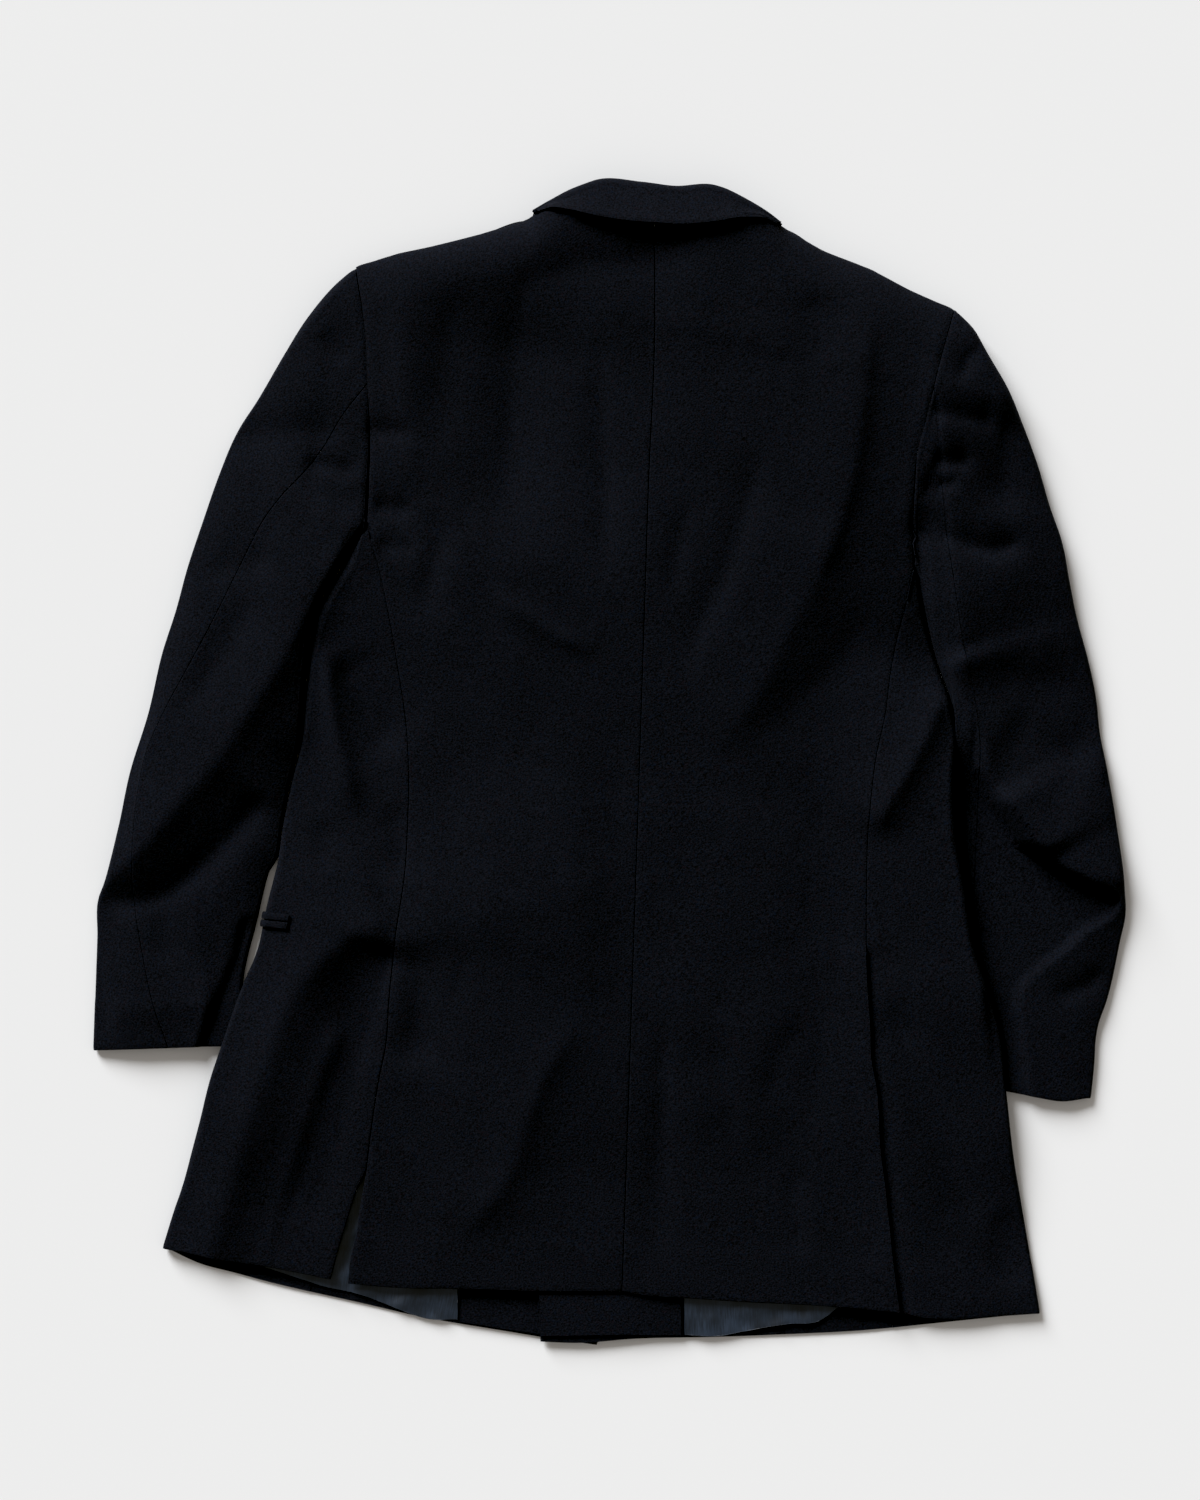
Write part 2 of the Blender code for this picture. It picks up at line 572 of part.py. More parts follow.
def with_shoulder_rows(outline):
    """An outline with the close rows that the roll of the shoulder needs."""
    close = outline[0] + (outline[1] - outline[0]) * SHOULDER_ROWS
    return np.vstack([outline[:1], close, outline[1:]])


def side_rows(side):
    """A side panel's rows, as shares of its length, with its seam and its edge at each row."""
    if side == "left":
        stretches, edge = (SIDE_SEAM_LEFT, VENT_SIDE_LEFT), BODY_EDGE_LEFT
    else:
        stretches, edge = (SIDE_SEAM_RIGHT, VENT_RIGHT), BODY_EDGE_RIGHT
    seam = joined(*zip(stretches, BACK_ROWS[2:]))
    reached = shares(seam)
    edge_line = along(edge, reached)
    pocket_rows = np.interp(POCKET_ROWS, edge_line[::-1, 1], reached[::-1])
    rows = np.sort(np.concatenate([reached, pocket_rows]))
    seam = np.column_stack([np.interp(rows, reached, seam[:, k]) for k in (0, 1)])
    return rows, seam, along(edge, rows)


def side_grids(side):
    """The grids of a side panel, from the side seam round the body's edge to the underside."""
    if side == "left":
        under, hem, hem_under = UNDER_SEAM_LEFT, HEM_SIDE_LEFT, HEM_UNDER_LEFT
    else:
        under, hem, hem_under = UNDER_SEAM_RIGHT, HEM_SIDE_RIGHT, HEM_UNDER_RIGHT
    rows, seam, edge_line = side_rows(side)
    lower = along(under, rows)
    ends = {
        "top above": [tuple(seam[0]), tuple(edge_line[0])],
        "last above": hem,
        "top below": [tuple(edge_line[0]), tuple(lower[0])],
        "last below": hem_under,
    }

    def height(plan):
        return body_height(plan[..., 0], plan[..., 1])

    return wrapped(seam, edge_line, lower, ends, SIDE_STEPS, height, rest, rows)


def side_panels(collection):
    """The side panels with their pockets."""
    for side in ("left", "right"):
        outer, inner = side_grids(side)
        wall(f"side_{side}", outer, inner, "wool", collection)
        hip_pocket(side, outer, collection)


def hip_pocket(side, grid, collection):
    """The two jets of a hip pocket, made from the side panel's points, moved out."""
    first, last = JET_COLUMNS[side]
    columns = [first] + list(range(int(first) + 1, int(last) + 1)) + [last]
    edge_column = SIDE_STEPS[0] + 2
    from_hem = np.arange(len(grid))
    for name, edges in JET_EDGES.items():
        rows = len(grid) - 1 - np.interp(edges, grid[::-1, edge_column, 1], from_hem)
        points = np.array([[between(grid, i, j) for j in columns] for i in rows])
        normals = np.array([[normal_at(grid, i, j) for j in columns] for i in rows])
        outer = points + normals * (JET_GAP + JET)
        inner = points + normals * JET_GAP
        wall(f"jet_{name}_{side}", outer, inner, "wool", collection)


def between(grid, i, j):
    """The point of a grid at fractional row i and column j."""
    row, column = int(min(i, len(grid) - 2)), int(min(j, grid.shape[1] - 2))
    v, u = i - row, j - column
    near = grid[row, column] * (1 - u) + grid[row, column + 1] * u
    far = grid[row + 1, column] * (1 - u) + grid[row + 1, column + 1] * u
    return near * (1 - v) + far * v


def normal_at(grid, i, j):
    """The grid's outward normal there: up on its first columns, down on its last ones."""
    last_row, last_column = len(grid) - 1, grid.shape[1] - 1
    step_row = between(grid, min(i + 0.5, last_row), j) - between(grid, max(i - 0.5, 0), j)
    step_column = between(grid, i, min(j + 0.5, last_column)) - between(grid, i, max(j - 0.5, 0))
    normal = np.cross(step_row, step_column)
    above = between(grid, i, 0.0)
    next_row = between(grid, min(i + 0.5, last_row), 0.5) - above
    next_column = between(grid, i, 1.0) - above
    sign = np.sign(np.cross(next_row, next_column)[2])
    return normal * sign / np.linalg.norm(normal)


SLEEVES = {
    "left": {
        "outer": SLEEVE_OUTER_LEFT, "inner": SLEEVE_INNER_LEFT, "seam": HINDARM_LEFT,
        "cuff": CUFF_LEFT, "upper hole": ARMHOLE_UPPER_LEFT, "lower hole": ARMHOLE_LOWER_LEFT,
        "tucked below": -125.0, "outward": -1.0,
    },
    "right": {
        "outer": SLEEVE_OUTER_RIGHT, "inner": SLEEVE_INNER_RIGHT, "seam": HINDARM_RIGHT,
        "cuff": CUFF_RIGHT, "upper hole": ARMHOLE_UPPER_RIGHT, "lower hole": ARMHOLE_LOWER_RIGHT,
        "tucked below": 25.0, "outward": 1.0,
    },
}
# Where the seam below a sleeve runs, as the share of the way from its inner to its outer edge.
BELOW_SEAM = 0.45
# The share of a sleeve's length over which it comes away from the body.
SLEEVE_BLEND = 0.22
# Over this much length above the tucked part, a sleeve rises freely again.
TUCK_LENGTH = 60.0
FREE_HEIGHT = 40.0


def sleeve(side, collection):
    """The top sleeve and under sleeve, which meet at the hindarm seam and below the sleeve."""
    tables = SLEEVES[side]
    places = np.concatenate([[0, 0.02, 0.05], np.linspace(0.1, 1, SLEEVE_ROWS)])
    outer_line = along(tables["outer"], places)
    inner_line = along(tables["inner"], places)
    seam_line = along(tables["seam"], places)
    below_line = outer_line * BELOW_SEAM + inner_line * (1 - BELOW_SEAM)

    def height(plan):
        to_outer = np.linalg.norm(plan - outer_line[:, None], axis=2)
        to_inner = np.linalg.norm(plan - inner_line[:, None], axis=2)
        across = to_outer / (to_outer + to_inner)
        edge = level(SLEEVE_EDGE, places)[:, None]
        crown = level(SLEEVE_CROWN, places)[:, None]
        x, y = plan[..., 0], plan[..., 1]
        own = edge + (crown - edge) * (1 - np.abs(2 * across - 1) ** 3) + folds(x, y)
        at_body = 1 - ease(places / SLEEVE_BLEND)[:, None]
        z = own + (body_height(x, y) - own) * at_body
        beyond = np.maximum(tables["outward"] * (x - body_side(y, side)) - CUFF_MARGIN, 0)
        free = FREE_HEIGHT * ease((y - tables["tucked below"]) / TUCK_LENGTH)
        return np.minimum(z, CUFF_HEIGHT + CUFF_RISE * beyond + free)

    def flat(x, y):
        return np.zeros(np.shape(x))

    cuff = along(tables["cuff"], np.linspace(0, 1, 40))
    split = int(np.argmin(np.hypot(*(cuff - seam_line[-1]).T)))
    under_split = int(np.argmin(np.hypot(*(cuff - below_line[-1]).T)))
    pieces = {
        "top": (outer_line, tables["upper hole"][::-1], cuff[split::-1], cuff[: under_split + 1]),
        "under": (inner_line, tables["lower hole"], cuff[split:], cuff[: under_split - 1 : -1]),
    }
    for name, (edge, hole, cuff_above, cuff_below) in pieces.items():
        ends = {
            "top above": hole,
            "last above": np.vstack([cuff_above[::3], cuff_above[-1:]]),
            "top below": [edge[0], below_line[0]],
            "last below": np.vstack([cuff_below[::3], cuff_below[-1:]]),
        }
        lines = (seam_line, edge, below_line)
        outer, inner = wrapped(*lines, ends, SLEEVE_STEPS, height, flat, places)
        wall(f"{name}_sleeve_{side}", outer, inner, "wool", collection)


def fronts(collection):
    """The two fronts on the underside. The inner one lies on the outer one where they cross."""
    halves = {
        "left": {
            "shoulder": SHOULDER_LEFT, "hole": (ARMHOLE_UPPER_LEFT, ARMHOLE_LOWER_LEFT),
            "seam": UNDER_SEAM_LEFT, "hem": HEM_FRONT_LEFT, "roll": ROLL_LEFT,
            "edge": FRONT_EDGE_LEFT, "height": front_height,
        },
        "right": {
            "shoulder": SHOULDER_RIGHT, "hole": (ARMHOLE_UPPER_RIGHT, ARMHOLE_LOWER_RIGHT),
            "seam": UNDER_SEAM_RIGHT, "hem": HEM_FRONT_RIGHT, "roll": ROLL_RIGHT,
            "edge": FRONT_EDGE_RIGHT, "height": crossed_height,
        },
    }
    columns = np.linspace(0, 1, FRONT_COLUMNS + 1)
    for side, tables in halves.items():
        hole = joined(*zip(tables["hole"], FRONT_HOLE_ROWS))
        outline = np.vstack([hole, along(tables["seam"], side_rows(side)[0])])
        outline = with_shoulder_rows(outline)
        rows = shares(outline)
        inner_edge = np.vstack([smooth(tables["roll"]), smooth(tables["edge"])[1:]])
        inner_edge = along(inner_edge[::3], rows)
        inner_edge[-1] = tables["edge"][-1]
        top = along(tables["roll"][:1] + tables["shoulder"], columns)
        hem = along(tables["hem"][::-1], columns)
        plan = patch(inner_edge, outline, top, hem, rows, columns)
        lower_panel(f"front_{side}", drawn_in(plan, SEAM_GAP / 2), tables["height"], collection)


def quad(left, right, top, bottom, steps):
    """A grid of plan points between four tables, with this many steps down and across."""
    v = np.linspace(0, 1, steps[0] + 1)
    u = np.linspace(0, 1, steps[1] + 1)
    return patch(along(left, v), along(right, v), along(top, u), along(bottom, u), v, u)


def between_rails(left, right, steps):
    """A grid of plan points between two tables whose ends are joined by straight lines."""
    return quad(left, right, [left[0], right[0]], [left[-1], right[-1]], steps)


def facings_and_linings(collection):
    """The inner layers that show at the hem and in the open vent."""
    left = (front_height, LAYER_GAP)
    right = (crossed_height, CROSSED_GAP)
    linings = {}
    for side, top, hem, steps in (
        ("left", LINING_TOP_LEFT, LINING_HEM_LEFT, (4, 10)),
        ("right", LINING_TOP_RIGHT, LINING_HEM_RIGHT, (3, 10)),
    ):
        linings[side] = quad([top[0], hem[0]], [top[-1], hem[-1]], top, hem, steps)
    for name, plan, (height, gap), finish in (
        ("facing_left", quad(**FACING_LEFT, steps=(3, 6)), left, "wool"),
        ("facing_right", quad(**FACING_RIGHT, steps=(3, 6)), right, "wool"),
        ("lining_left", linings["left"], left, "lining"),
        ("lining_right", linings["right"], right, "lining"),
    ):
        bottom = height(plan[..., 0], plan[..., 1]) + WOOL + gap
        layer(name, plan, bottom, LINING, finish, collection)


def lapels_and_collar_ends(collection):
    """Plain turned-back layers under the fronts."""
    for name, outer, inner, steps in (
        ("lapel_left", LAPEL_OUTER_LEFT, LAPEL_ROLL_LEFT, (8, 3)),
        ("lapel_right", LAPEL_OUTER_RIGHT, LAPEL_ROLL_RIGHT, (7, 3)),
        ("collar_end_left", COLLAR_END_LEFT["outer"], COLLAR_END_LEFT["inner"], (3, 3)),
        ("collar_end_right", COLLAR_END_RIGHT["outer"], COLLAR_END_RIGHT["inner"], (3, 3)),
    ):
        layer(name, between_rails(outer, inner, steps), 0.0, TURNED_BACK, "wool", collection)


def collar(collection):
    """The fall, the fold and the stand of the collar behind the neck."""
    rows = np.linspace(0, 1, COLLAR_ROWS + 1)
    leaf = along(COLLAR_LEAF, rows)
    fold = along(COLLAR_FOLD, rows)
    neck = along(COLLAR_NECK, rows)
    ends = {
        "top above": [tuple(leaf[0]), tuple(fold[0])],
        "last above": [tuple(leaf[-1]), tuple(fold[-1])],
        "top below": [tuple(fold[0]), tuple(neck[0])],
        "last below": [tuple(fold[-1]), tuple(neck[-1])],
    }

    def height(plan):
        own = np.broadcast_to(level(FALL_HEIGHT, rows)[:, None], plan.shape[:2])
        clear = body_height(plan[..., 0], plan[..., 1]) + WOOL * STEEPEST_WALL + LAYER_GAP
        over_back = plan[..., 1] < level(NECK_LEFT + NECK_RIGHT[1:], plan[..., 0]) + NECK_MARGIN
        return np.where(over_back, np.maximum(own, clear), own)

    def stand(x, y):
        own = level(STAND_HEIGHT, rows)
        return np.broadcast_to(own[:, None], np.shape(x)) if np.ndim(x) == 2 else own

    outer, inner = wrapped(leaf, fold, neck, ends, COLLAR_STEPS, height, stand, rows)
    wall("collar", outer, inner, "wool", collection)


def buttons(collection):
    """Dished buttons on the outer front, which rests on them."""
    for number, (x, y) in enumerate(BUTTON_PLACES, start=1):
        bm = bmesh.new()
        radius = BUTTON_RADIUS * METRES
        tall = BUTTON_THICKNESS * METRES
        bmesh.ops.create_cone(
            bm, cap_ends=True, segments=BUTTON_SIDES, radius1=radius, radius2=radius, depth=tall
        )
        bmesh.ops.translate(bm, verts=bm.verts, vec=(x * METRES, y * METRES, tall / 2))
        cap = min(bm.faces, key=lambda face: face.calc_center_median().z)
        rim = (BUTTON_RADIUS - BUTTON_DISH_RADIUS) * METRES
        bmesh.ops.inset_region(bm, faces=[cap], thickness=rim)
        bmesh.ops.inset_region(bm, faces=[cap], thickness=METRES, depth=-BUTTON_DISH_DEPTH * METRES)
        bmesh.ops.recalc_face_normals(bm, faces=bm.faces)
        mesh = bpy.data.meshes.new(f"button_{number}")
        bm.to_mesh(mesh)
        bm.free()
        add_object(f"button_{number}", mesh, "horn", collection)


def centre_on_origin(collection):
    """Moves every piece so that the origin is below the middle of the whole garment."""
    vertices = [vertex for piece in collection.objects for vertex in piece.data.vertices]
    points = np.array([tuple(vertex.co) for vertex in vertices])
    low, high = points.min(axis=0), points.max(axis=0)
    shift = (-(low[0] + high[0]) / 2, -(low[1] + high[1]) / 2, -low[2])
    for vertex in vertices:
        vertex.co = tuple(vertex.co[k] + shift[k] for k in range(3))
    print("plan shift in millimetres:", [round(value / METRES, 2) for value in shift])


def main():
    for obj in list(bpy.data.objects):
        bpy.data.objects.remove(obj)
    collection = bpy.data.collections.new(NAME)
    bpy.context.scene.collection.children.link(collection)
    back_panels(collection)
    side_panels(collection)
    fronts(collection)
    facings_and_linings(collection)
    lapels_and_collar_ends(collection)
    collar(collection)
    for side in ("left", "right"):
        sleeve(side, collection)
    buttons(collection)
    centre_on_origin(collection)


main()
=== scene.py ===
"""The looks of a double-breasted blazer that lies flat on its front, with its back up.

Each cloth piece is a thin shell on the form of its solid, with the seams, turned edges and
creases of the real one. Plan places and heights are in millimetres, as in the part's source.
"""

import logging
from dataclasses import dataclass, field
from enum import Enum
from typing import Callable, Sequence

import bpy
import numpy as np
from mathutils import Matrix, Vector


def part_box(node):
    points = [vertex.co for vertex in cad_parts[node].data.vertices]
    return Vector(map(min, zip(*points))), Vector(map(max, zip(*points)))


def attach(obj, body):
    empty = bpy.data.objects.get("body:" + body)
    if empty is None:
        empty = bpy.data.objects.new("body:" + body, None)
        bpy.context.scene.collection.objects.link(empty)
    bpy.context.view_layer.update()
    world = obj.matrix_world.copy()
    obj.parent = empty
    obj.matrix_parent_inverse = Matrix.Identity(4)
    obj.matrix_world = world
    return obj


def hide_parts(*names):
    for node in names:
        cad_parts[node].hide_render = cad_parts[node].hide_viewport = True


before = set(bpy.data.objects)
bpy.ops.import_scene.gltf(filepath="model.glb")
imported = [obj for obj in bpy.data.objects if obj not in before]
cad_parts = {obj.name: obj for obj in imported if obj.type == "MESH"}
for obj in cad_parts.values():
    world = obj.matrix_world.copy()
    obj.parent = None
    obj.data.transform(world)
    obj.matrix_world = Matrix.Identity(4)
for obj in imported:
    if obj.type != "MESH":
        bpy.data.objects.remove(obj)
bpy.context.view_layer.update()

LOG = logging.getLogger("blazer")

MM = 0.001
SIDES = ("left", "right")
# Keeps a division by a length that may be 0 from failing.
TINY = 1e-9
# Rows of a table that are closer than this are the same place.
SAME_PLACE = 1e-3
# How far past their crossing two heights blend, and over what difference.
BLEND = 0.8
BLEND_REACH = 8.0

# The thickness of the cloths and of what is turned back, and the gaps between layers.
WOOL = 1.6
LINING = 1.0
TURNED_BACK = 2.2
JET = 1.0
JET_GAP = 0.4
LAYER_GAP = 0.3
SEAM_GAP = 0.03
# How wide the shoulder's roll is, and how high the back's upper side and the fronts'
# underside are at its line.
SHOULDER_ROLL = 38.0
BACK_RIM = 9.5
FRONT_RIM = 4.5
# How the inner front climbs on the outer one, and how far its facing lies above it.
CROSSED_LIFT = 3.2
CROSSED_MARGIN = 8.0
CROSSED_RAMP = 80.0
CROSSED_GAP = 0.8
# A sleeve is this high beside the body, and rises from this far outside the body's edge.
CUFF_HEIGHT = 5.8
CUFF_MARGIN = 14.0
# The y at which the vents start. The left one is open, the right one is closed with a step.
VENT_TOP = {"left": -286.0, "right": -146.0}
# No sheet's cut is stated narrower than this.
NARROWEST_CUT = 10.2
# The places of a grid's close rows beside its edges. Its even ones start past them by this
# share of a step, and it has at least so many steps.
CLOSE_STEPS = [0, 0.2, 0.6, 1.2, 2.0, 3.2, 5.0]
CLEAR_OF_CLOSE = 0.4
FEWEST_STEPS = 4

Table = Sequence[tuple[float, float]]
Height = Callable[[np.ndarray, np.ndarray], np.ndarray]

# Seams and edges in plan, as rows of (x, y), from the collar's end to the hem or the cuff.
CENTRE_SEAM = [
    (33, 405), (33, 307), (29, 215), (26, 123), (23, 30), (20, -63), (18, -124), (15, -217),
    (12, -311), (9, -396),
]
NECK = {
    "left": [(33, 405), (0, 407), (-26, 411.5), (-46, 412.5), (-62, 405)],
    "right": [(33, 405), (67, 405), (93, 406), (112, 405), (130, 399)],
}
SHOULDER = {
    "left": [(-62, 405), (-98, 394), (-134, 385), (-158, 380), (-190, 370)],
    "right": [(130, 399), (159, 382), (195, 368), (223, 353), (257, 338)],
}
ARMHOLE_UPPER = {
    "left": [(-190, 370), (-185, 340), (-182, 312), (-181, 281)],
    "right": [(257, 338), (246, 301), (240, 278)],
}
ARMHOLE_LOWER = {
    "left": [(-181, 281), (-179, 252), (-179, 229), (-180, 203), (-181, 173)],
    "right": [(240, 278), (234, 252), (228, 228), (226, 202), (225, 176), (226, 143)],
}
SIDE_SEAM = {
    "left": [
        (-181, 173), (-174, 151), (-166, 115), (-157, 63), (-153, 36), (-150, -12), (-151, -50),
        (-153, -83), (-160, -131), (-165, -178), (-167, -209), (-173, -240), (-178, -273),
        (-182, -305),
    ],
    "right": [
        (226, 143), (221, 119), (215, 96), (209, 66), (205, 36), (198, 4), (193, -39),
        (191, -104), (192, -168), (194, -195), (195, -222), (199, -243), (202, -288), (206, -318),
    ],
}
VENT_BACK = {
    "left": [(-182, -305), (-187, -334), (-190, -354), (-194, -371), (-196, -390)],
    "right": [(206, -318), (209, -347), (212, -376), (217, -412)],
}
VENT_SIDE = {
    "left": [(-182, -305), (-188, -317), (-196, -341), (-202, -361), (-209, -387)],
    "right": VENT_BACK["right"],
}
BODY_EDGE = {
    "left": [
        (-186, 168), (-204, 140), (-219, 113), (-227, 61), (-232, 13), (-239, -16), (-246, -55),
        (-248, -71), (-256, -105), (-265, -145), (-272, -161), (-290, -211), (-299, -238),
        (-306, -266), (-312, -288), (-319, -314), (-327, -338), (-335, -364),
    ],
    "right": [
        (228, 142), (235, 112), (243, 79), (254, 46), (258, 25), (257, -18), (259, -57),
        (265, -93), (274, -146), (282, -170), (290, -196), (296, -246), (301, -290), (307, -325),
        (314, -365), (322, -413),
    ],
}
UNDER_SEAM = {
    "left": [
        (-176, 166), (-150, 106), (-139, 46), (-139, -16), (-142, -66), (-154, -126),
        (-169, -178), (-188, -238), (-206, -298), (-225, -397),
    ],
    "right": [
        (220, 136), (202, 92), (180, 46), (161, -16), (154, -66), (158, -126), (169, -178),
        (180, -238), (191, -298), (212, -424),
    ],
}
HEM_BACK = {
    "left": [(9, -396), (-52, -396), (-113, -394), (-163, -393), (-196, -390)],
    "right": [
        (9, -396), (25, -399), (58, -401), (103, -404), (146, -406), (174, -408), (217, -412),
    ],
}
HEM_SIDE = {
    "left": [(-209, -387), (-255, -378), (-300, -371), (-317, -367), (-335, -364)],
    "right": [(217, -412), (235, -416), (260, -417), (292, -415), (322, -413)],
}
HEM_UNDER = {
    "left": [(-335, -365), (-310, -376), (-283, -383), (-256, -390), (-225, -397)],
    "right": [(322, -413), (261, -419), (212, -424)],
}
HEM_FRONT = {
    "left": [
        (-225, -397), (-180, -407), (-146, -415), (-113, -421), (-82, -426), (-52, -431),
        (-10, -437),
    ],
    "right": [
        (212, -424), (190, -426), (132, -429), (80, -431), (17, -432), (-25, -435), (-52, -434),
    ],
}
ROLL = {
    "left": [(-44, 402), (-20, 315), (30, 107), (77, -88)],
    "right": [(112, 400), (80, 315), (4, 107), (-68, -88)],
}
FRONT_EDGE = {
    "left": [(77, -88), (71, -148), (52, -238), (26, -328), (-10, -437)],
    "right": [(-68, -88), (-67, -148), (-62, -238), (-57, -328), (-52, -434)],
}
SLEEVE_OUTER = {
    "left": [
        (-190, 369), (-198, 363), (-226, 332), (-244, 304), (-263, 272), (-278, 249),
        (-292, 216), (-304, 182), (-316, 146), (-325, 113), (-335, 82), (-345, 38), (-359, -7),
        (-368, -50), (-379, -91), (-383, -101), (-384, -131), (-387, -216),
    ],
    "right": [
        (257, 338), (271, 324), (283, 303), (298, 277), (310, 249), (320, 222), (329, 191),
        (338, 165), (344, 134), (350, 105), (358, 76), (364, 48), (367, 21), (373, -10),
        (379, -46), (385, -95), (386, -114), (382, -134), (372, -179), (366, -196), (362, -233),
        (360, -252),
    ],
}
SLEEVE_INNER = {
    "left": [
        (-187, 174), (-205, 140), (-220, 113), (-228, 61), (-233, 13), (-240, -16), (-247, -55),
        (-252, -71), (-258, -92), (-264, -118), (-270, -141), (-274, -159), (-275, -186),
        (-275, -213),
    ],
    "right": [
        (229, 145), (236, 112), (244, 79), (255, 46), (259, 24), (259, -18), (258, -57),
        (256, -93), (255, -133), (252, -178), (249, -208), (246, -237),
    ],
}
HINDARM = {
    "left": [
        (-181, 281), (-200, 257), (-215, 233), (-229, 215), (-245, 198), (-259, 179),
        (-269, 160), (-281, 136), (-300, 98), (-317, 67), (-331, 41), (-347, 4), (-353, -28),
        (-356, -66), (-356, -103), (-350, -140), (-342, -178), (-330, -214),
    ],
    "right": [
        (240, 278), (243, 240), (246, 210), (249, 180), (255, 136), (262, 91), (270, 54),
        (275, 16), (275, -28), (273, -73), (271, -118), (269, -163), (266, -208), (263, -241),
    ],
}
CUFF = {
    "left": [(-387, -216), (-359, -215), (-330, -214), (-300, -213), (-275, -213)],
    "right": [(360, -252), (340, -254), (322, -251), (297, -246), (273, -242), (246, -237)],
}
COLLAR_FOLD = [
    (-58, 412), (-47, 418), (-29, 427), (-21, 430), (-9, 434), (24, 432), (48, 429), (77, 430),
    (84, 428), (97, 422), (120, 409), (128, 403),
]
COLLAR_LEAF = [
    (-57, 409), (-44, 412), (-32, 410), (-13, 405), (9, 401), (32, 399), (55, 398), (77, 400),
    (100, 404), (114, 404), (126, 400),
]
COLLAR_NECK = [
    (-57, 408), (-46, 411), (-26, 411), (0, 409), (33, 407), (67, 407), (93, 408), (112, 407),
    (128, 401),
]
LAPEL_OUTER = {
    "left": [(-118, 300), (-92, 220), (-50, 130), (0, 40), (48, -42), (70, -76)],
    "right": [(182, 300), (158, 220), (112, 140), (54, 66)],
}
LAPEL_ROLL = {
    "left": [(-21, 318), (30, 107), (74, -76)],
    "right": [(80, 315), (27, 158), (28, 120), (46, 62)],
}
COLLAR_END = {
    "left": ([(-80, 390), (-98, 332)], [(-52, 400), (-24, 334)]),
    "right": ([(150, 378), (160, 322)], [(118, 396), (86, 332)]),
}
LINING_HEM = {
    "left": [
        (-296, -367), (-242, -384), (-214, -393), (-187, -399), (-163, -408), (-137, -417),
        (-114, -418),
    ],
    "right": [
        (56, -429), (80, -430), (103, -426), (132, -421), (156, -419), (176, -405), (217, -402),
        (281, -400),
    ],
}
LINING_TOP = {
    "left": [(-292, -300), (-200, -296), (-114, -296)],
    "right": [(54, -350), (150, -350), (276, -350)],
}
FACING = {
    "left": (
        [(-112, -350), (-112, -420)], [(18, -350), (-10, -433)],
        [(-112, -350), (18, -350)], [(-112, -420), (-52, -429), (-10, -433)],
    ),
    "right": (
        [(-56, -350), (-52, -430)], [(52, -350), (54, -430)],
        [(-56, -350), (52, -350)], [(-52, -430), (17, -429), (54, -430)],
    ),
}
# Where the right sleeve rises from its hollow beside the body, as rows of (y, x).
ELBOW_RISE = [
    (-240, 304), (-190, 300), (-168, 306), (-152, 320), (-140, 338), (-125, 352), (-114, 374),
    (-104, 380), (-95, 362), (-80, 330), (-60, 303), (-30, 284), (5, 268), (43, 256), (80, 252),
]

# Heights, as rows of (place, height): the place is y on the body and a share along the rest.
CROWN = [
    (-400, 8.4), (-328, 10.8), (-215, 13), (-103, 15), (9, 18), (122, 22), (235, 26), (325, 27),
    (410, 25),
]
SIDE = [
    (-405, 6), (-180, 6.5), (-28, 7), (60, 8.5), (120, 10.5), (170, 14.5), (212, 19), (272, 22),
    (370, 21),
]
SHOULDER_LINE = [
    (-190, 370), (-158, 380), (-134, 385), (-98, 394), (-62, 405), (-30, 440), (100, 440),
    (130, 399), (159, 382), (195, 368), (223, 353), (257, 338),
]
SLEEVE_CROWN = [(0, 20), (0.2, 17), (0.45, 15), (0.7, 13), (0.85, 10), (1, 9)]
SLEEVE_EDGE = [(0, 12), (0.15, 10), (0.4, 8), (0.7, 6.5), (1, 5.6)]
FALL_HEIGHT = [(0, 15), (0.08, 27), (0.2, 32), (0.5, 34), (0.8, 32), (0.92, 27), (1, 15)]
STAND_HEIGHT = [(0, 7.5), (0.08, 17), (0.2, 23), (0.5, 24), (0.8, 23), (0.92, 17), (1, 7.5)]

# What lifts the underside from the floor: x0, y0, x1, y1, radius, height, ramp.
LIFTS = {
    "left cuff": (-292, -145, -292, -216, 36, 6.8, 40),
    "right cuff": (292, -40, 292, -218, 56, 6.8, 40),
    "left pocket": (-262, -116, -150, -134, 36, 2.0, 30),
    "right pocket": (240, -116, 160, -120, 30, 2.0, 30),
    "left lapel, wide end": (-72, 295, -40, 200, 68, 2.8, 30),
    "left lapel, narrow end": (-40, 200, 62, -62, 45, 2.8, 30),
    "right lapel, wide end": (128, 295, 100, 190, 68, 2.8, 30),
    "right lapel, narrow end": (100, 190, 50, 75, 45, 2.8, 30),
    "left collar end": (-66, 372, -62, 345, 50, 2.8, 30),
    "right collar end": (132, 366, 122, 345, 50, 2.8, 30),
    "upper buttons": (62, -96, -29, -96, 52, 3.6, 30),
    "lower buttons": (56, -194, -29, -194, 52, 3.6, 30),
}
BUTTON_PLACES = [(62, -96), (-29, -96), (56, -194), (-29, -194)]


def plan_shift() -> tuple[float, float]:
    """How far the tables' plan lies from the frame's, in millimetres, by the first button."""
    low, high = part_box("button_1")
    return tuple((low[k] + high[k]) / 2 / MM - BUTTON_PLACES[0][k] for k in (0, 1))


PLAN_SHIFT = plan_shift()

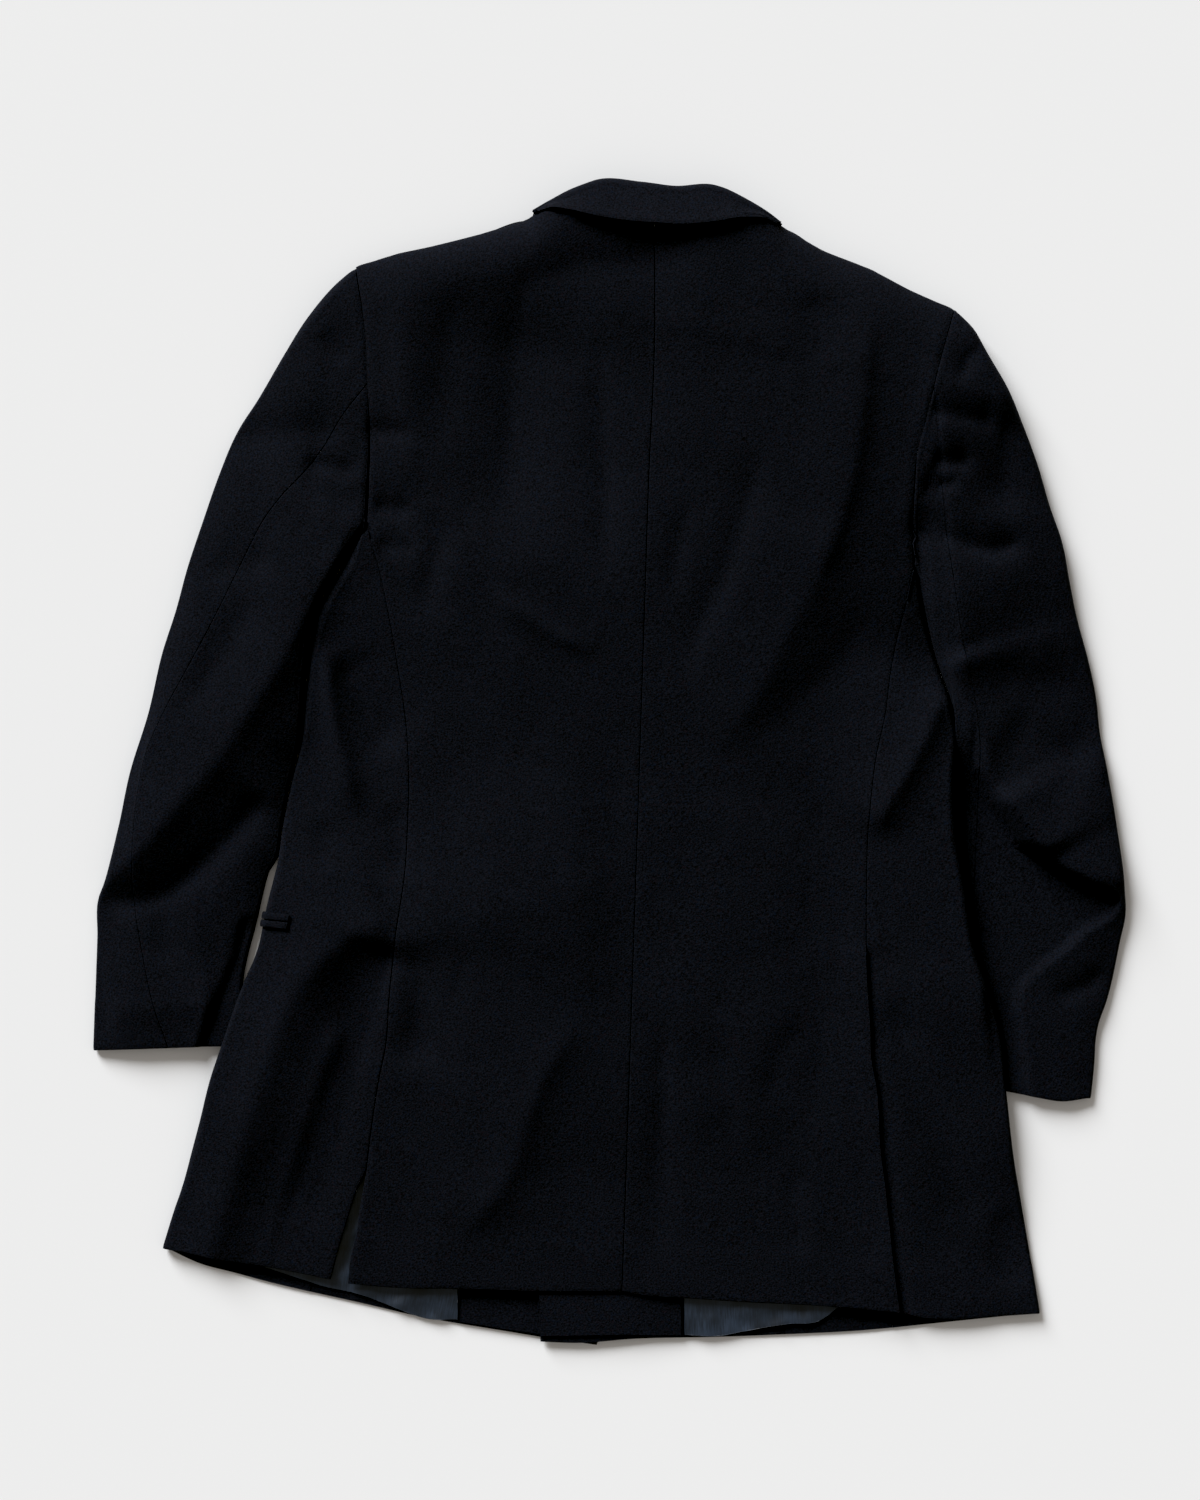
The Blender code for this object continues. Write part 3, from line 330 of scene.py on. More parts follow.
# Folds: name, height (negative in a trough), width left and right of the way its path is
# drawn, roundness of its crest, share of the path over which each end fades, and the path.
FOLDS = [
    (
        "left blade hollow", -14, 150, 90, 4, 0.4,
        [(-50, 396), (-66, 345), (-72, 300), (-73, 255), (-76, 200), (-80, 140)],
    ),
    (
        "left blade slope", -5.5, 80, 50, 7, 0.4,
        [(-104, 370), (-118, 320), (-124, 270), (-122, 215)],
    ),
    ("rise beside the left sleeve", 4, 80, 16, 6, 0.5, [(-156, 370), (-152, 300), (-146, 180)]),
    ("neck hollow", -3.6, 34, 18, 8, 0.35, [(70, 378), (20, 372), (-30, 366), (-84, 342)]),
    ("pull at the left sleeve head", -3, 9, 8, 3, 0.3, [(-186, 249), (-166, 246), (-142, 244)]),
    ("left armpit fold", -3, 9, 10, 3, 0.3, [(-180, 193), (-164, 189), (-144, 187)]),
    ("second left armpit fold", -2.8, 9, 9, 3, 0.3, [(-176, 164), (-162, 161), (-142, 159)]),
    (
        "dent under the left blade", -3, 10, 12, 7, 0.35,
        [(-134, 192), (-127, 168), (-134, 120), (-112, 106)],
    ),
    ("crescent", 3.6, 7, 9, 2, 0.3, [(-92, 132), (-58, 106), (-33, 91), (-6, 80)]),
    ("drape left of the seam", -3, 10, 14, 6, 0.3, [(-10, 322), (-7, 260), (-4, 200), (-4, 122)]),
    (
        "blade ridge", 3.2, 9, 60, 3, 0.2,
        [(190, 345), (190, 300), (186, 255), (178, 205), (164, 160), (152, 128)],
    ),
    (
        "flat beside the right sleeve", 5, 110, 46, 6, 0.2,
        [(252, 336), (240, 278), (233, 230), (230, 190), (230, 145), (236, 110), (244, 76)],
    ),
    (
        "lower blade ridge", 3.6, 26, 60, 4, 0.2,
        [(168, 190), (152, 134), (134, 98), (110, 52), (72, 4)],
    ),
    ("lower blade valley", -2, 20, 24, 8, 0.3, [(194, 124), (178, 84), (146, 50), (106, 12)]),
    ("long drape", -3.2, 12, 16, 7, 0.3, [(110, 255), (104, 200), (88, 150), (66, 100), (50, 52)]),
    ("short drape", -1.8, 8, 9, 5, 0.3, [(60, 198), (50, 160), (48, 118)]),
    ("dip below the right shoulder", -2, 20, 20, 14, 0.3, [(150, 352), (152, 286)]),
    ("left side ridge", 6, 12, 10, 3, 0.25, [(-213, 92), (-208, 44), (-199, 0), (-186, -44)]),
    ("left armpit drag", -4.5, 26, 12, 4, 0.25, [(-206, 84), (-190, 52), (-172, 24), (-156, 4)]),
    ("left side drape", -2.4, 10, 12, 5, 0.3, [(-168, -28), (-158, -56), (-158, -92)]),
    ("left hip dent", -1.8, 10, 12, 6, 0.35, [(-216, -40), (-212, -86)]),
    (
        "right armpit drag", 5.5, 15, 28, 3, 0.2,
        [(254, 64), (238, 26), (221, -8), (206, -32), (195, -60)],
    ),
    (
        "right side ridge", 7, 7, 44, 3, 0.3,
        [(250, 60), (256, -10), (262, -70), (270, -126), (278, -190), (284, -250)],
    ),
    ("waist shelf", 6, 60, 76, 26, 0.25, [(-176, -110), (-110, -114), (-50, -104), (16, -98)]),
    (
        "hollow beside the side seam", -5, 22, 22, 8, 0.25,
        [(-146, -128), (-141, -180), (-152, -236)],
    ),
    (
        "left skirt outer ridge", 5.8, 34, 40, 5, 0.06,
        [
            (-158, -116), (-194, -130), (-228, -162), (-252, -214), (-273, -280), (-291, -340),
            (-310, -412),
        ],
    ),
    (
        "left skirt middle ridge", 3.5, 14, 12, 3, 0.12,
        [(-196, -186), (-214, -230), (-230, -280), (-246, -336), (-266, -412)],
    ),
    (
        "left skirt trough", -7, 11, 40, 3, 0.05,
        [(-162, -134), (-186, -200), (-202, -252), (-220, -306), (-240, -366), (-256, -420)],
    ),
    (
        "low centre ridge", 4, 18, 40, 5, 0.25,
        [(-14, -184), (-44, -224), (-61, -262), (-72, -300), (-92, -332), (-122, -366)],
    ),
    (
        "drape right of the seam", -2.6, 9, 12, 5, 0.25,
        [(37, -182), (40, -250), (37, -320), (35, -388)],
    ),
    ("right skirt drape", -5, 16, 16, 6, 0.2, [(206, -170), (226, -236), (250, -292), (284, -356)]),
    ("low right drape", -2, 8, 10, 5, 0.3, [(136, -295), (142, -375)]),
    ("second low drape", -1.6, 12, 12, 8, 0.3, [(66, -196), (84, -236), (92, -300)]),
    ("third low drape", -1.6, 12, 12, 8, 0.3, [(150, -190), (128, -214), (118, -262)]),
    ("right hem corner", -3, 12, 12, 7, 0.3, [(294, -330), (302, -400)]),
    (
        "left sleeve ridge", 8, 32, 60, 4, 0.08,
        [
            (-184, 196), (-206, 152), (-226, 112), (-248, 70), (-272, 34), (-296, -2), (-326, -36),
            (-352, -66), (-388, -98),
        ],
    ),
    (
        "left sleeve inner edge", 3.5, 12, 26, 7, 0.2,
        [(-190, 172), (-214, 125), (-227, 80), (-231, 40), (-238, -4)],
    ),
    (
        "left elbow trough", -5.5, 14, 24, 4, 0.12,
        [(-254, -22), (-282, -54), (-310, -82), (-334, -100), (-388, -106)],
    ),
    (
        "left sleeve head fold", -5, 26, 44, 6, 0.3,
        [(-292, 236), (-262, 244), (-222, 246), (-192, 240)],
    ),
    ("second left sleeve fold", -3.4, 10, 8, 3, 0.3, [(-232, 224), (-208, 220), (-186, 212)]),
    ("left sleeve dent", -2.4, 7, 9, 4, 0.35, [(-216, 322), (-206, 308), (-192, 298)]),
    ("left sleeve drape", -2.4, 18, 16, 8, 0.3, [(-314, 138), (-282, 146), (-244, 150)]),
    ("left sleeve length", -2.6, 12, 18, 7, 0.3, [(-258, 132), (-290, 78), (-322, 28)]),
    ("left forearm dent", -1.6, 10, 12, 7, 0.35, [(-334, -104), (-332, -156)]),
    ("left cuff slope", 2.6, 40, 22, 8, 0.15, [(-380, -188), (-330, -182), (-290, -176)]),
    ("first right sleeve fold", -4.5, 16, 8, 3, 0.25, [(232, 262), (258, 258), (292, 252)]),
    ("second right sleeve fold", -4.6, 10, 7, 3, 0.3, [(236, 226), (254, 223), (272, 226)]),
    ("third right sleeve fold", -3.6, 7, 6, 2, 0.3, [(228, 208), (246, 206), (262, 208)]),
    (
        "fourth right sleeve fold", -5.5, 18, 8, 3, 0.2,
        [(218, 178), (242, 172), (266, 162), (290, 158), (312, 168)],
    ),
    ("small right sleeve fold", -3, 6, 9, 3, 0.35, [(276, 314), (266, 298), (256, 278)]),
    ("right sleeve hollow", -5, 30, 26, 5, 0.3, [(296, 272), (294, 220), (292, 176)]),
    ("right sleeve patch", -4, 34, 55, 10, 0.25, [(244, 76), (284, 66), (322, 58), (362, 66)]),
    ("lower right sleeve patch", -4.5, 30, 60, 10, 0.3, [(286, 30), (322, 12), (366, -8)]),
    (
        "right sleeve overhang", 8, 50, 7, 3, 0.08,
        [(252, 84), (268, 34), (286, -8), (304, -44), (322, -78)],
    ),
    (
        "right elbow bag", 7, 70, 28, 5, 0.12,
        [(284, -20), (306, -56), (334, -78), (362, -88), (396, -82)],
    ),
    ("right sleeve fall", 6.5, 90, 12, 8, 0.2, [(246, 304), (254, 210), (262, 120), (272, 40)]),
    ("right forearm crease", -3, 12, 8, 3, 0.3, [(326, -176), (352, -170), (374, -152)]),
]


def ease(t: np.ndarray) -> np.ndarray:
    """A soft step from 0 to 1."""
    t = np.clip(t, 0, 1)
    return t * t * (3 - 2 * t)


def lesser(a: np.ndarray, b: np.ndarray) -> np.ndarray:
    """The lesser of two heights, with no crease where they cross.

    Args:
        a: Heights in millimetres.
        b: Heights in millimetres.

    Returns:
        The blended heights.
    """
    apart = a - b
    soft = np.sqrt(apart**2 + 4 * BLEND**2)
    return (a + b - soft) / 2 + BLEND * np.exp(-((apart / BLEND_REACH) ** 2))


def greater(a: np.ndarray, b: np.ndarray) -> np.ndarray:
    """The greater of two heights, with no crease where they cross."""
    return -lesser(-a, -b)


def level(table: Table, key: np.ndarray) -> np.ndarray:
    """A table's second column, read at values of its first."""
    rows = np.array(sorted(table), float)
    return np.interp(key, rows[:, 0], rows[:, 1])


def x_at(table: Table, y: np.ndarray) -> np.ndarray:
    """The x at which a plan table's line passes this y."""
    return level([(row_y, row_x) for row_x, row_y in table], y)


def to_segment(
    x: np.ndarray, y: np.ndarray, start: Sequence[float], end: Sequence[float]
) -> tuple[np.ndarray, np.ndarray]:
    """How places lie beside a straight segment.

    Args:
        x: Plan places.
        y: Plan places.
        start: The segment's start.
        end: Its end.

    Returns:
        The share of the segment that is nearest to each place, and the distance to it.
    """
    (x0, y0), (x1, y1) = start, end
    run = max((x1 - x0) ** 2 + (y1 - y0) ** 2, TINY)
    t = np.clip(((x - x0) * (x1 - x0) + (y - y0) * (y1 - y0)) / run, 0, 1)
    return t, np.hypot(x - x0 - t * (x1 - x0), y - y0 - t * (y1 - y0))


def unit(vectors: np.ndarray) -> np.ndarray:
    """These vectors at a length of 1."""
    return vectors / np.maximum(np.linalg.norm(vectors, axis=-1), TINY)[..., None]


@dataclass(frozen=True)
class Line:
    """A smooth plan curve through a table's rows, read by its share of length."""

    points: np.ndarray
    reached: np.ndarray

    @staticmethod
    def through(*tables: Table, steps: int = 12) -> "Line":
        """A line through one table after another.

        Args:
            *tables: Rows of (x, y), each table starting where the last one ended.
            steps: Points between two rows.

        Returns:
            The line.
        """
        pieces = []
        for table in tables:
            piece = Line._smooth(np.array(table, float), steps)
            pieces.append(piece if not pieces else piece[1:])
        points = np.vstack(pieces)
        length = np.concatenate([[0], np.cumsum(np.hypot(*np.diff(points, axis=0).T))])
        return Line(points, length / length[-1])

    @staticmethod
    def _smooth(points: np.ndarray, steps: int) -> np.ndarray:
        """Close points on the curve through a table's rows.

        Args:
            points: The rows.
            steps: Points between two rows.

        Returns:
            The close points.
        """
        moved = np.hypot(*np.diff(points, axis=0).T) > SAME_PLACE
        points = points[np.concatenate([[True], moved])]
        chord = np.hypot(*np.diff(points, axis=0).T)[:, None]
        slope = np.diff(points, axis=0) / chord
        middle = (slope[:-1] * chord[1:] + slope[1:] * chord[:-1]) / (chord[:-1] + chord[1:])
        tangent = np.vstack([slope[:1], middle, slope[-1:]])
        t = np.linspace(0, 1, steps, endpoint=False)[:, None]
        pieces = []
        for i, length in enumerate(chord):
            start = (2 * t**3 - 3 * t**2 + 1) * points[i]
            start = start + (t**3 - 2 * t**2 + t) * length * tangent[i]
            end = (3 * t**2 - 2 * t**3) * points[i + 1] + (t**3 - t**2) * length * tangent[i + 1]
            pieces.append(start + end)
        return np.vstack(pieces + [points[-1:]])

    def share_at(self, y: float) -> float:
        """The last share of its length at which the line passes this y."""
        below = np.nonzero(self.points[:, 1] > y)[0]
        return float(self.reached[below[-1]])

    def at(self, places: np.ndarray) -> np.ndarray:
        """Points at these shares of the line's length."""
        return np.column_stack([np.interp(places, self.reached, self.points[:, k]) for k in (0, 1)])

    def length(self) -> float:
        """The line's length in millimetres."""
        return float(np.hypot(*np.diff(self.points, axis=0).T).sum())


@dataclass(frozen=True)
class Fold:
    """A trough or ridge, with its own width on each side of its path."""

    name: str
    depth: float
    width_left: float
    width_right: float
    crest: float
    fade: float
    path: Table
    # Points between two rows of the path.
    steps: int = 6
    # How many widths from its path the fold is worked out.
    worked_out: float = 4.0
    # The share of its width at which a fold with a sharp crest is down to a third.
    fall: float = 0.62

    def height(self, x: np.ndarray, y: np.ndarray) -> np.ndarray:
        """How far the fold raises or lowers the cloth.

        Args:
            x: Plan places.
            y: Plan places.

        Returns:
            The change of height in millimetres.
        """
        line = Line.through(self.path, steps=self.steps)
        margin = self.worked_out * max(self.width_left, self.width_right)
        low, high = line.points.min(axis=0) - margin, line.points.max(axis=0) + margin
        near = (x > low[0]) & (x < high[0]) & (y > low[1]) & (y < high[1])
        total = np.zeros(np.shape(x))
        if not near.any():
            return total
        px, py = x[near], y[near]
        best = np.full(px.shape, np.inf)
        share, side = np.zeros(px.shape), np.zeros(px.shape)
        for i, (start, end) in enumerate(zip(line.points[:-1], line.points[1:])):
            t, distance = to_segment(px, py, start, end)
            closer = distance < best
            reached = line.reached[i] + t * (line.reached[i + 1] - line.reached[i])
            share = np.where(closer, reached, share)
            run = end - start
            to_left = run[0] * (py - start[1]) - run[1] * (px - start[0])
            side = np.where(closer, np.sign(to_left), side)
            best = np.minimum(distance, best)
        # Across the crest, the width turns from one side's to the other's.
        signed = np.clip(side * best / (0.5 * self.crest + 1), -1, 1)
        width = (self.width_left * (1 + signed) + self.width_right * (1 - signed)) / 2
        fade = ease(share / self.fade) * ease((1 - share) / self.fade)
        away = np.hypot(best, self.crest) - self.crest
        total[near] = self.depth * fade * np.exp(-away / (self.fall * width))
        return total


@dataclass(frozen=True)
class Unevenness:
    """The slight unevenness of cloth that has been worn and laid down."""

    size: float
    height: float
    seed: int
    waves: int = 9
    # The waves' lengths, as shares of the size.
    shares: tuple[float, float] = (0.7, 1.5)

    def at(self, x: np.ndarray, y: np.ndarray) -> np.ndarray:
        """The unevenness at these places.

        Args:
            x: Plan places.
            y: Plan places.

        Returns:
            The change of height in millimetres.
        """
        rng = np.random.default_rng(self.seed)
        total = np.zeros(np.shape(x))
        for _ in range(self.waves):
            angle = rng.uniform(0, 2 * np.pi)
            wave = 2 * np.pi / (self.size * rng.uniform(*self.shares))
            across = x * np.cos(angle) + y * np.sin(angle)
            total = total + np.sin(wave * across + rng.uniform(0, 2 * np.pi))
        return self.height * total / np.sqrt(self.waves)


@dataclass
class BodyForm:
    """The heights of the laid-out blazer's layers, as in its solids."""

    all_folds: list[Fold] = field(default_factory=lambda: [Fold(*row) for row in FOLDS])
    slow: Unevenness = Unevenness(size=70, height=0.32, seed=3)
    quick: Unevenness = Unevenness(size=22, height=0.07, seed=8)
    # The power by which the body's section falls off to its sides.
    section: int = 4
    # The least height of the back over its rest, which keeps it clear of the layers below.
    clear: float = 8.6
    # How much less it may be near the body's edge, where there are fewer layers, from which
    # share of the half width on, and over what share.
    clear_less: float = 4.2
    less_from: float = 0.68
    less_over: float = 0.2
    # How much of the folds shows on the underside, and how high that may rise.
    crease_share: float = 0.16
    highest_crease: float = 1.2
    # How much wider the rest's ramps are in the upper surface than in the underside.
    softened: float = 2.6

    def folds(self, x: np.ndarray, y: np.ndarray) -> np.ndarray:
        """All folds and the cloth's unevenness.

        Args:
            x: Plan places.
            y: Plan places.

        Returns:
            The change of height in millimetres.
        """
        total = self.slow.at(x, y) + self.quick.at(x, y)
        for fold in self.all_folds:
            total = total + fold.height(x, y)
        return total

    def creases(self, x: np.ndarray, y: np.ndarray) -> np.ndarray:
        """How far the folds raise the underside."""
        return np.clip(self.crease_share * self.folds(x, y), 0, self.highest_crease)

    def rest(self, x: np.ndarray, y: np.ndarray, softness: float = 1.0) -> np.ndarray:
        """The height of the underside: 0 on the floor, more over what lifts it.

        Args:
            x: Plan places.
            y: Plan places.
            softness: How much wider the ramps are, for a layer that lies further up.

        Returns:
            Heights in millimetres.
        """
        height = np.zeros(np.shape(x))
        for x0, y0, x1, y1, radius, lift, ramp in LIFTS.values():
            distance = to_segment(x, y, (x0, y0), (x1, y1))[1]
            lifted = lift * (1 - ease((distance - radius) / (ramp * softness)))
            height = np.maximum(height, lifted)
        return height

    def floor(self, x: np.ndarray, y: np.ndarray) -> np.ndarray:
        """The height of the underside, whose soft creases only rise from its rest."""
        return self.rest(x, y) + self.creases(x, y)

    def side_x(self, y: np.ndarray, side: str) -> np.ndarray:
        """The x of the body's outline at this y, on one side."""
        return x_at(ARMHOLE_UPPER[side] + ARMHOLE_LOWER[side][1:] + BODY_EDGE[side], y)

    def roll(self, x: np.ndarray, y: np.ndarray) -> np.ndarray:
        """How far the shoulder's roll has risen, from 0 at its line to 1."""
        inside = np.clip(level(SHOULDER_LINE, x) - y, 0, SHOULDER_ROLL) / SHOULDER_ROLL
        return np.sqrt(1 - (1 - inside) ** 2)

    def upper(self, x: np.ndarray, y: np.ndarray) -> np.ndarray:
        """The height of the body's upper surface.

        Args:
            x: Plan places.
            y: Plan places.

        Returns:
            Heights in millimetres.
        """
        left = self.side_x(y, "left")
        across = np.clip((x - left) / (self.side_x(y, "right") - left), 0, 1)
        off_middle = np.abs(2 * across - 1)
        side = level(SIDE, y)
        crown = side + (level(CROWN, y) - side) * (1 - off_middle**self.section)
        clear = self.clear - self.clear_less * ease((off_middle - self.less_from) / self.less_over)
        folded = greater(crown + self.folds(x, y), np.minimum(crown, clear))
        full = self.rest(x, y, self.softened) + folded
        return BACK_RIM + (full - BACK_RIM) * self.roll(x, y)

    def front(self, x: np.ndarray, y: np.ndarray) -> np.ndarray:
        """The height of the outer front's underside."""
        return np.maximum(self.floor(x, y), FRONT_RIM * (1 - self.roll(x, y)))

    def crossed(self, x: np.ndarray, y: np.ndarray) -> np.ndarray:
        """The height of the inner front's underside, which lies on the outer front."""
        past = x - x_at(ROLL["left"][:-1] + FRONT_EDGE["left"], y) - CROSSED_MARGIN
        return self.front(x, y) + CROSSED_LIFT * (1 - ease(past / CROSSED_RAMP))


def spread(length: float, step: float) -> np.ndarray:
    """Shares of a length at even steps, with close ones near both ends for their seams.

    Args:
        length: The length in millimetres.
        step: The even step in millimetres.

    Returns:
        Shares from 0 to 1.
    """
    close = np.array(CLOSE_STEPS) / length
    clear = CLEAR_OF_CLOSE * step / length
    even = np.linspace(0, 1, max(int(round(length / step)), FEWEST_STEPS) + 1)
    even = even[(even > close[-1] + clear) & (even < 1 - close[-1] - clear)]
    return np.concatenate([close, even, 1 - close[::-1]])


def patch(
    left: np.ndarray, right: np.ndarray, top: Line, bottom: Line,
    rows: np.ndarray, columns: np.ndarray,
) -> np.ndarray:
    """A grid of plan points between four edges.

    Args:
        left: Points down the left edge, one for each row.
        right: Points down the right edge.
        top: The top edge.
        bottom: The bottom edge.
        rows: The rows' shares.
        columns: The columns' shares.

    Returns:
        The grid, whose corners are the ends of left and right.
    """
    v, u = rows[:, None, None], columns[None, :, None]
    ends = []
    for line, row in ((top, 0), (bottom, -1)):
        across = line.at(columns)
        from_left = (1 - columns)[:, None] * (left[row] - across[0])
        ends.append(across + from_left + columns[:, None] * (right[row] - across[-1]))
    sides = (1 - u) * left[:, None] + u * right[:, None]
    between = (1 - v) * ends[0][None] + v * ends[1][None]
    corners_top = (1 - u) * left[0] + u * right[0]
    corners_bottom = (1 - u) * left[-1] + u * right[-1]
    return sides + between - (1 - v) * corners_top - v * corners_bottom


def drawn_in(grid: np.ndarray) -> np.ndarray:
    """A plan grid whose four edges stand back by half of a seam's gap.

    Args:
        grid: Plan points by row and column.

    Returns:
        The drawn-in grid.
    """
    grid = grid.copy()
    edges = (np.s_[:, 0], np.s_[:, -1], np.s_[0], np.s_[-1])
    inners = (np.s_[:, 1], np.s_[:, -2], np.s_[1], np.s_[-2])
    for edge, inner in zip(edges, inners):
        step = grid[inner] - grid[edge]
        grid[edge] += step * (SEAM_GAP / 2) / np.maximum(np.hypot(*step.T)[:, None], TINY)
    return grid


def quad(left: Table, right: Table, top: Table, bottom: Table, step: float) -> np.ndarray:
    """A grid of plan points between four tables.

    Args:
        left: The left edge, as rows of (x, y) from top to bottom.
        right: The right edge, from top to bottom.
        top: The top edge, from left to right.
        bottom: The bottom edge, from left to right.
        step: About how far apart the points are.

    Returns:
        The grid.
    """
    sides = Line.through(left), Line.through(right)
    ends = Line.through(top), Line.through(bottom)
    rows, columns = (spread(max(line.length() for line in pair), step) for pair in (sides, ends))
    return patch(sides[0].at(rows), sides[1].at(rows), *ends, rows, columns)


def with_height(plan: np.ndarray, z: np.ndarray) -> np.ndarray:
    """Plan points with their heights."""
    return np.concatenate([plan, np.broadcast_to(z, plan.shape[:2])[..., None]], axis=2)


def normals(grid: np.ndarray) -> np.ndarray:
    """Unit normals of a grid, outward: up on a panel's upper side.

    Args:
        grid: Points by row and column.

    Returns:
        A normal for each point.
    """
    normal = unit(np.cross(np.gradient(grid, axis=0), np.gradient(grid, axis=1)))
    # A wrapped panel has its upper side at the first columns.
    rows, columns = grid.shape[:2]
    start = normal[rows // 4 : 3 * rows // 4, : max(2, columns // 4), 2]
    return normal if start.mean() > 0 else -normal


def reach(grid: np.ndarray, axis: int) -> tuple[np.ndarray, np.ndarray]:
    """How far each point is, along the cloth, from the two edges that an axis runs between.

    Args:
        grid: Points by row and column.
        axis: 0 down the rows, 1 across the columns.

    Returns:
        Distances from the first edge and from the last.
    """
    run = np.cumsum(np.linalg.norm(np.diff(grid, axis=axis), axis=2), axis=axis)
    first = np.pad(run, [(1, 0), (0, 0)] if axis == 0 else [(0, 0), (1, 0)])
    return first, np.take(first, [-1], axis=axis) - first


def ring_of(rows: int, columns: int) -> np.ndarray:
    """The places of a grid's edge points, once round.

    Args:
        rows: The grid's rows.
        columns: Its columns.

    Returns:
        Pairs of row and column.
    """
    around = [(i, 0) for i in range(rows)]
    around += [(rows - 1, j) for j in range(1, columns)]
    around += [(i, columns - 1) for i in range(rows - 2, -1, -1)]
    around += [(0, j) for j in range(columns - 2, 0, -1)]
    return np.array(around)


def along(ways: np.ndarray, surface: np.ndarray) -> np.ndarray:
    """Unit ways that run along a surface, given its normals."""
    return unit(ways - surface * (ways * surface).sum(axis=1)[:, None])


@dataclass(frozen=True)
class EdgeForm:
    """How a piece of cloth ends at an edge, in millimetres."""

    dip: float
    dip_width: float
    turned: float
    raised: float


class Edge(Enum):
    """The kinds of edge that the blazer's pieces have."""

    SEAM = EdgeForm(dip=0.22, dip_width=0.9, turned=11.0, raised=0.12)
    SLEEVE_SEAM = EdgeForm(dip=0.12, dip_width=0.8, turned=9.0, raised=0.04)
    FAINT_SEAM = EdgeForm(dip=-0.05, dip_width=0.8, turned=9.0, raised=0.0)
    ARMHOLE = EdgeForm(dip=0.5, dip_width=2.2, turned=9.0, raised=0.3)
    HEM = EdgeForm(dip=0.35, dip_width=1.6, turned=38.0, raised=0.28)
    FOLDED = EdgeForm(dip=0.4, dip_width=1.6, turned=6.0, raised=0.15)
    LAPPED_OVER = EdgeForm(dip=-1.5, dip_width=14.0, turned=34.0, raised=0.3)
    LAPPED_UNDER = EdgeForm(dip=1.7, dip_width=10.0, turned=0.1, raised=0.0)


class Side(Enum):
    """The four sides of a piece's grid."""

    TOP = "first row"
    BOTTOM = "last row"
    FIRST = "first column"
    LAST = "last column"


@dataclass(frozen=True)
class Stretch:
    """A stretch of one side of a piece, by its shares of that side, with one kind of edge."""

    side: Side
    edge: Edge
    start: float = 0.0
    end: float = 1.0


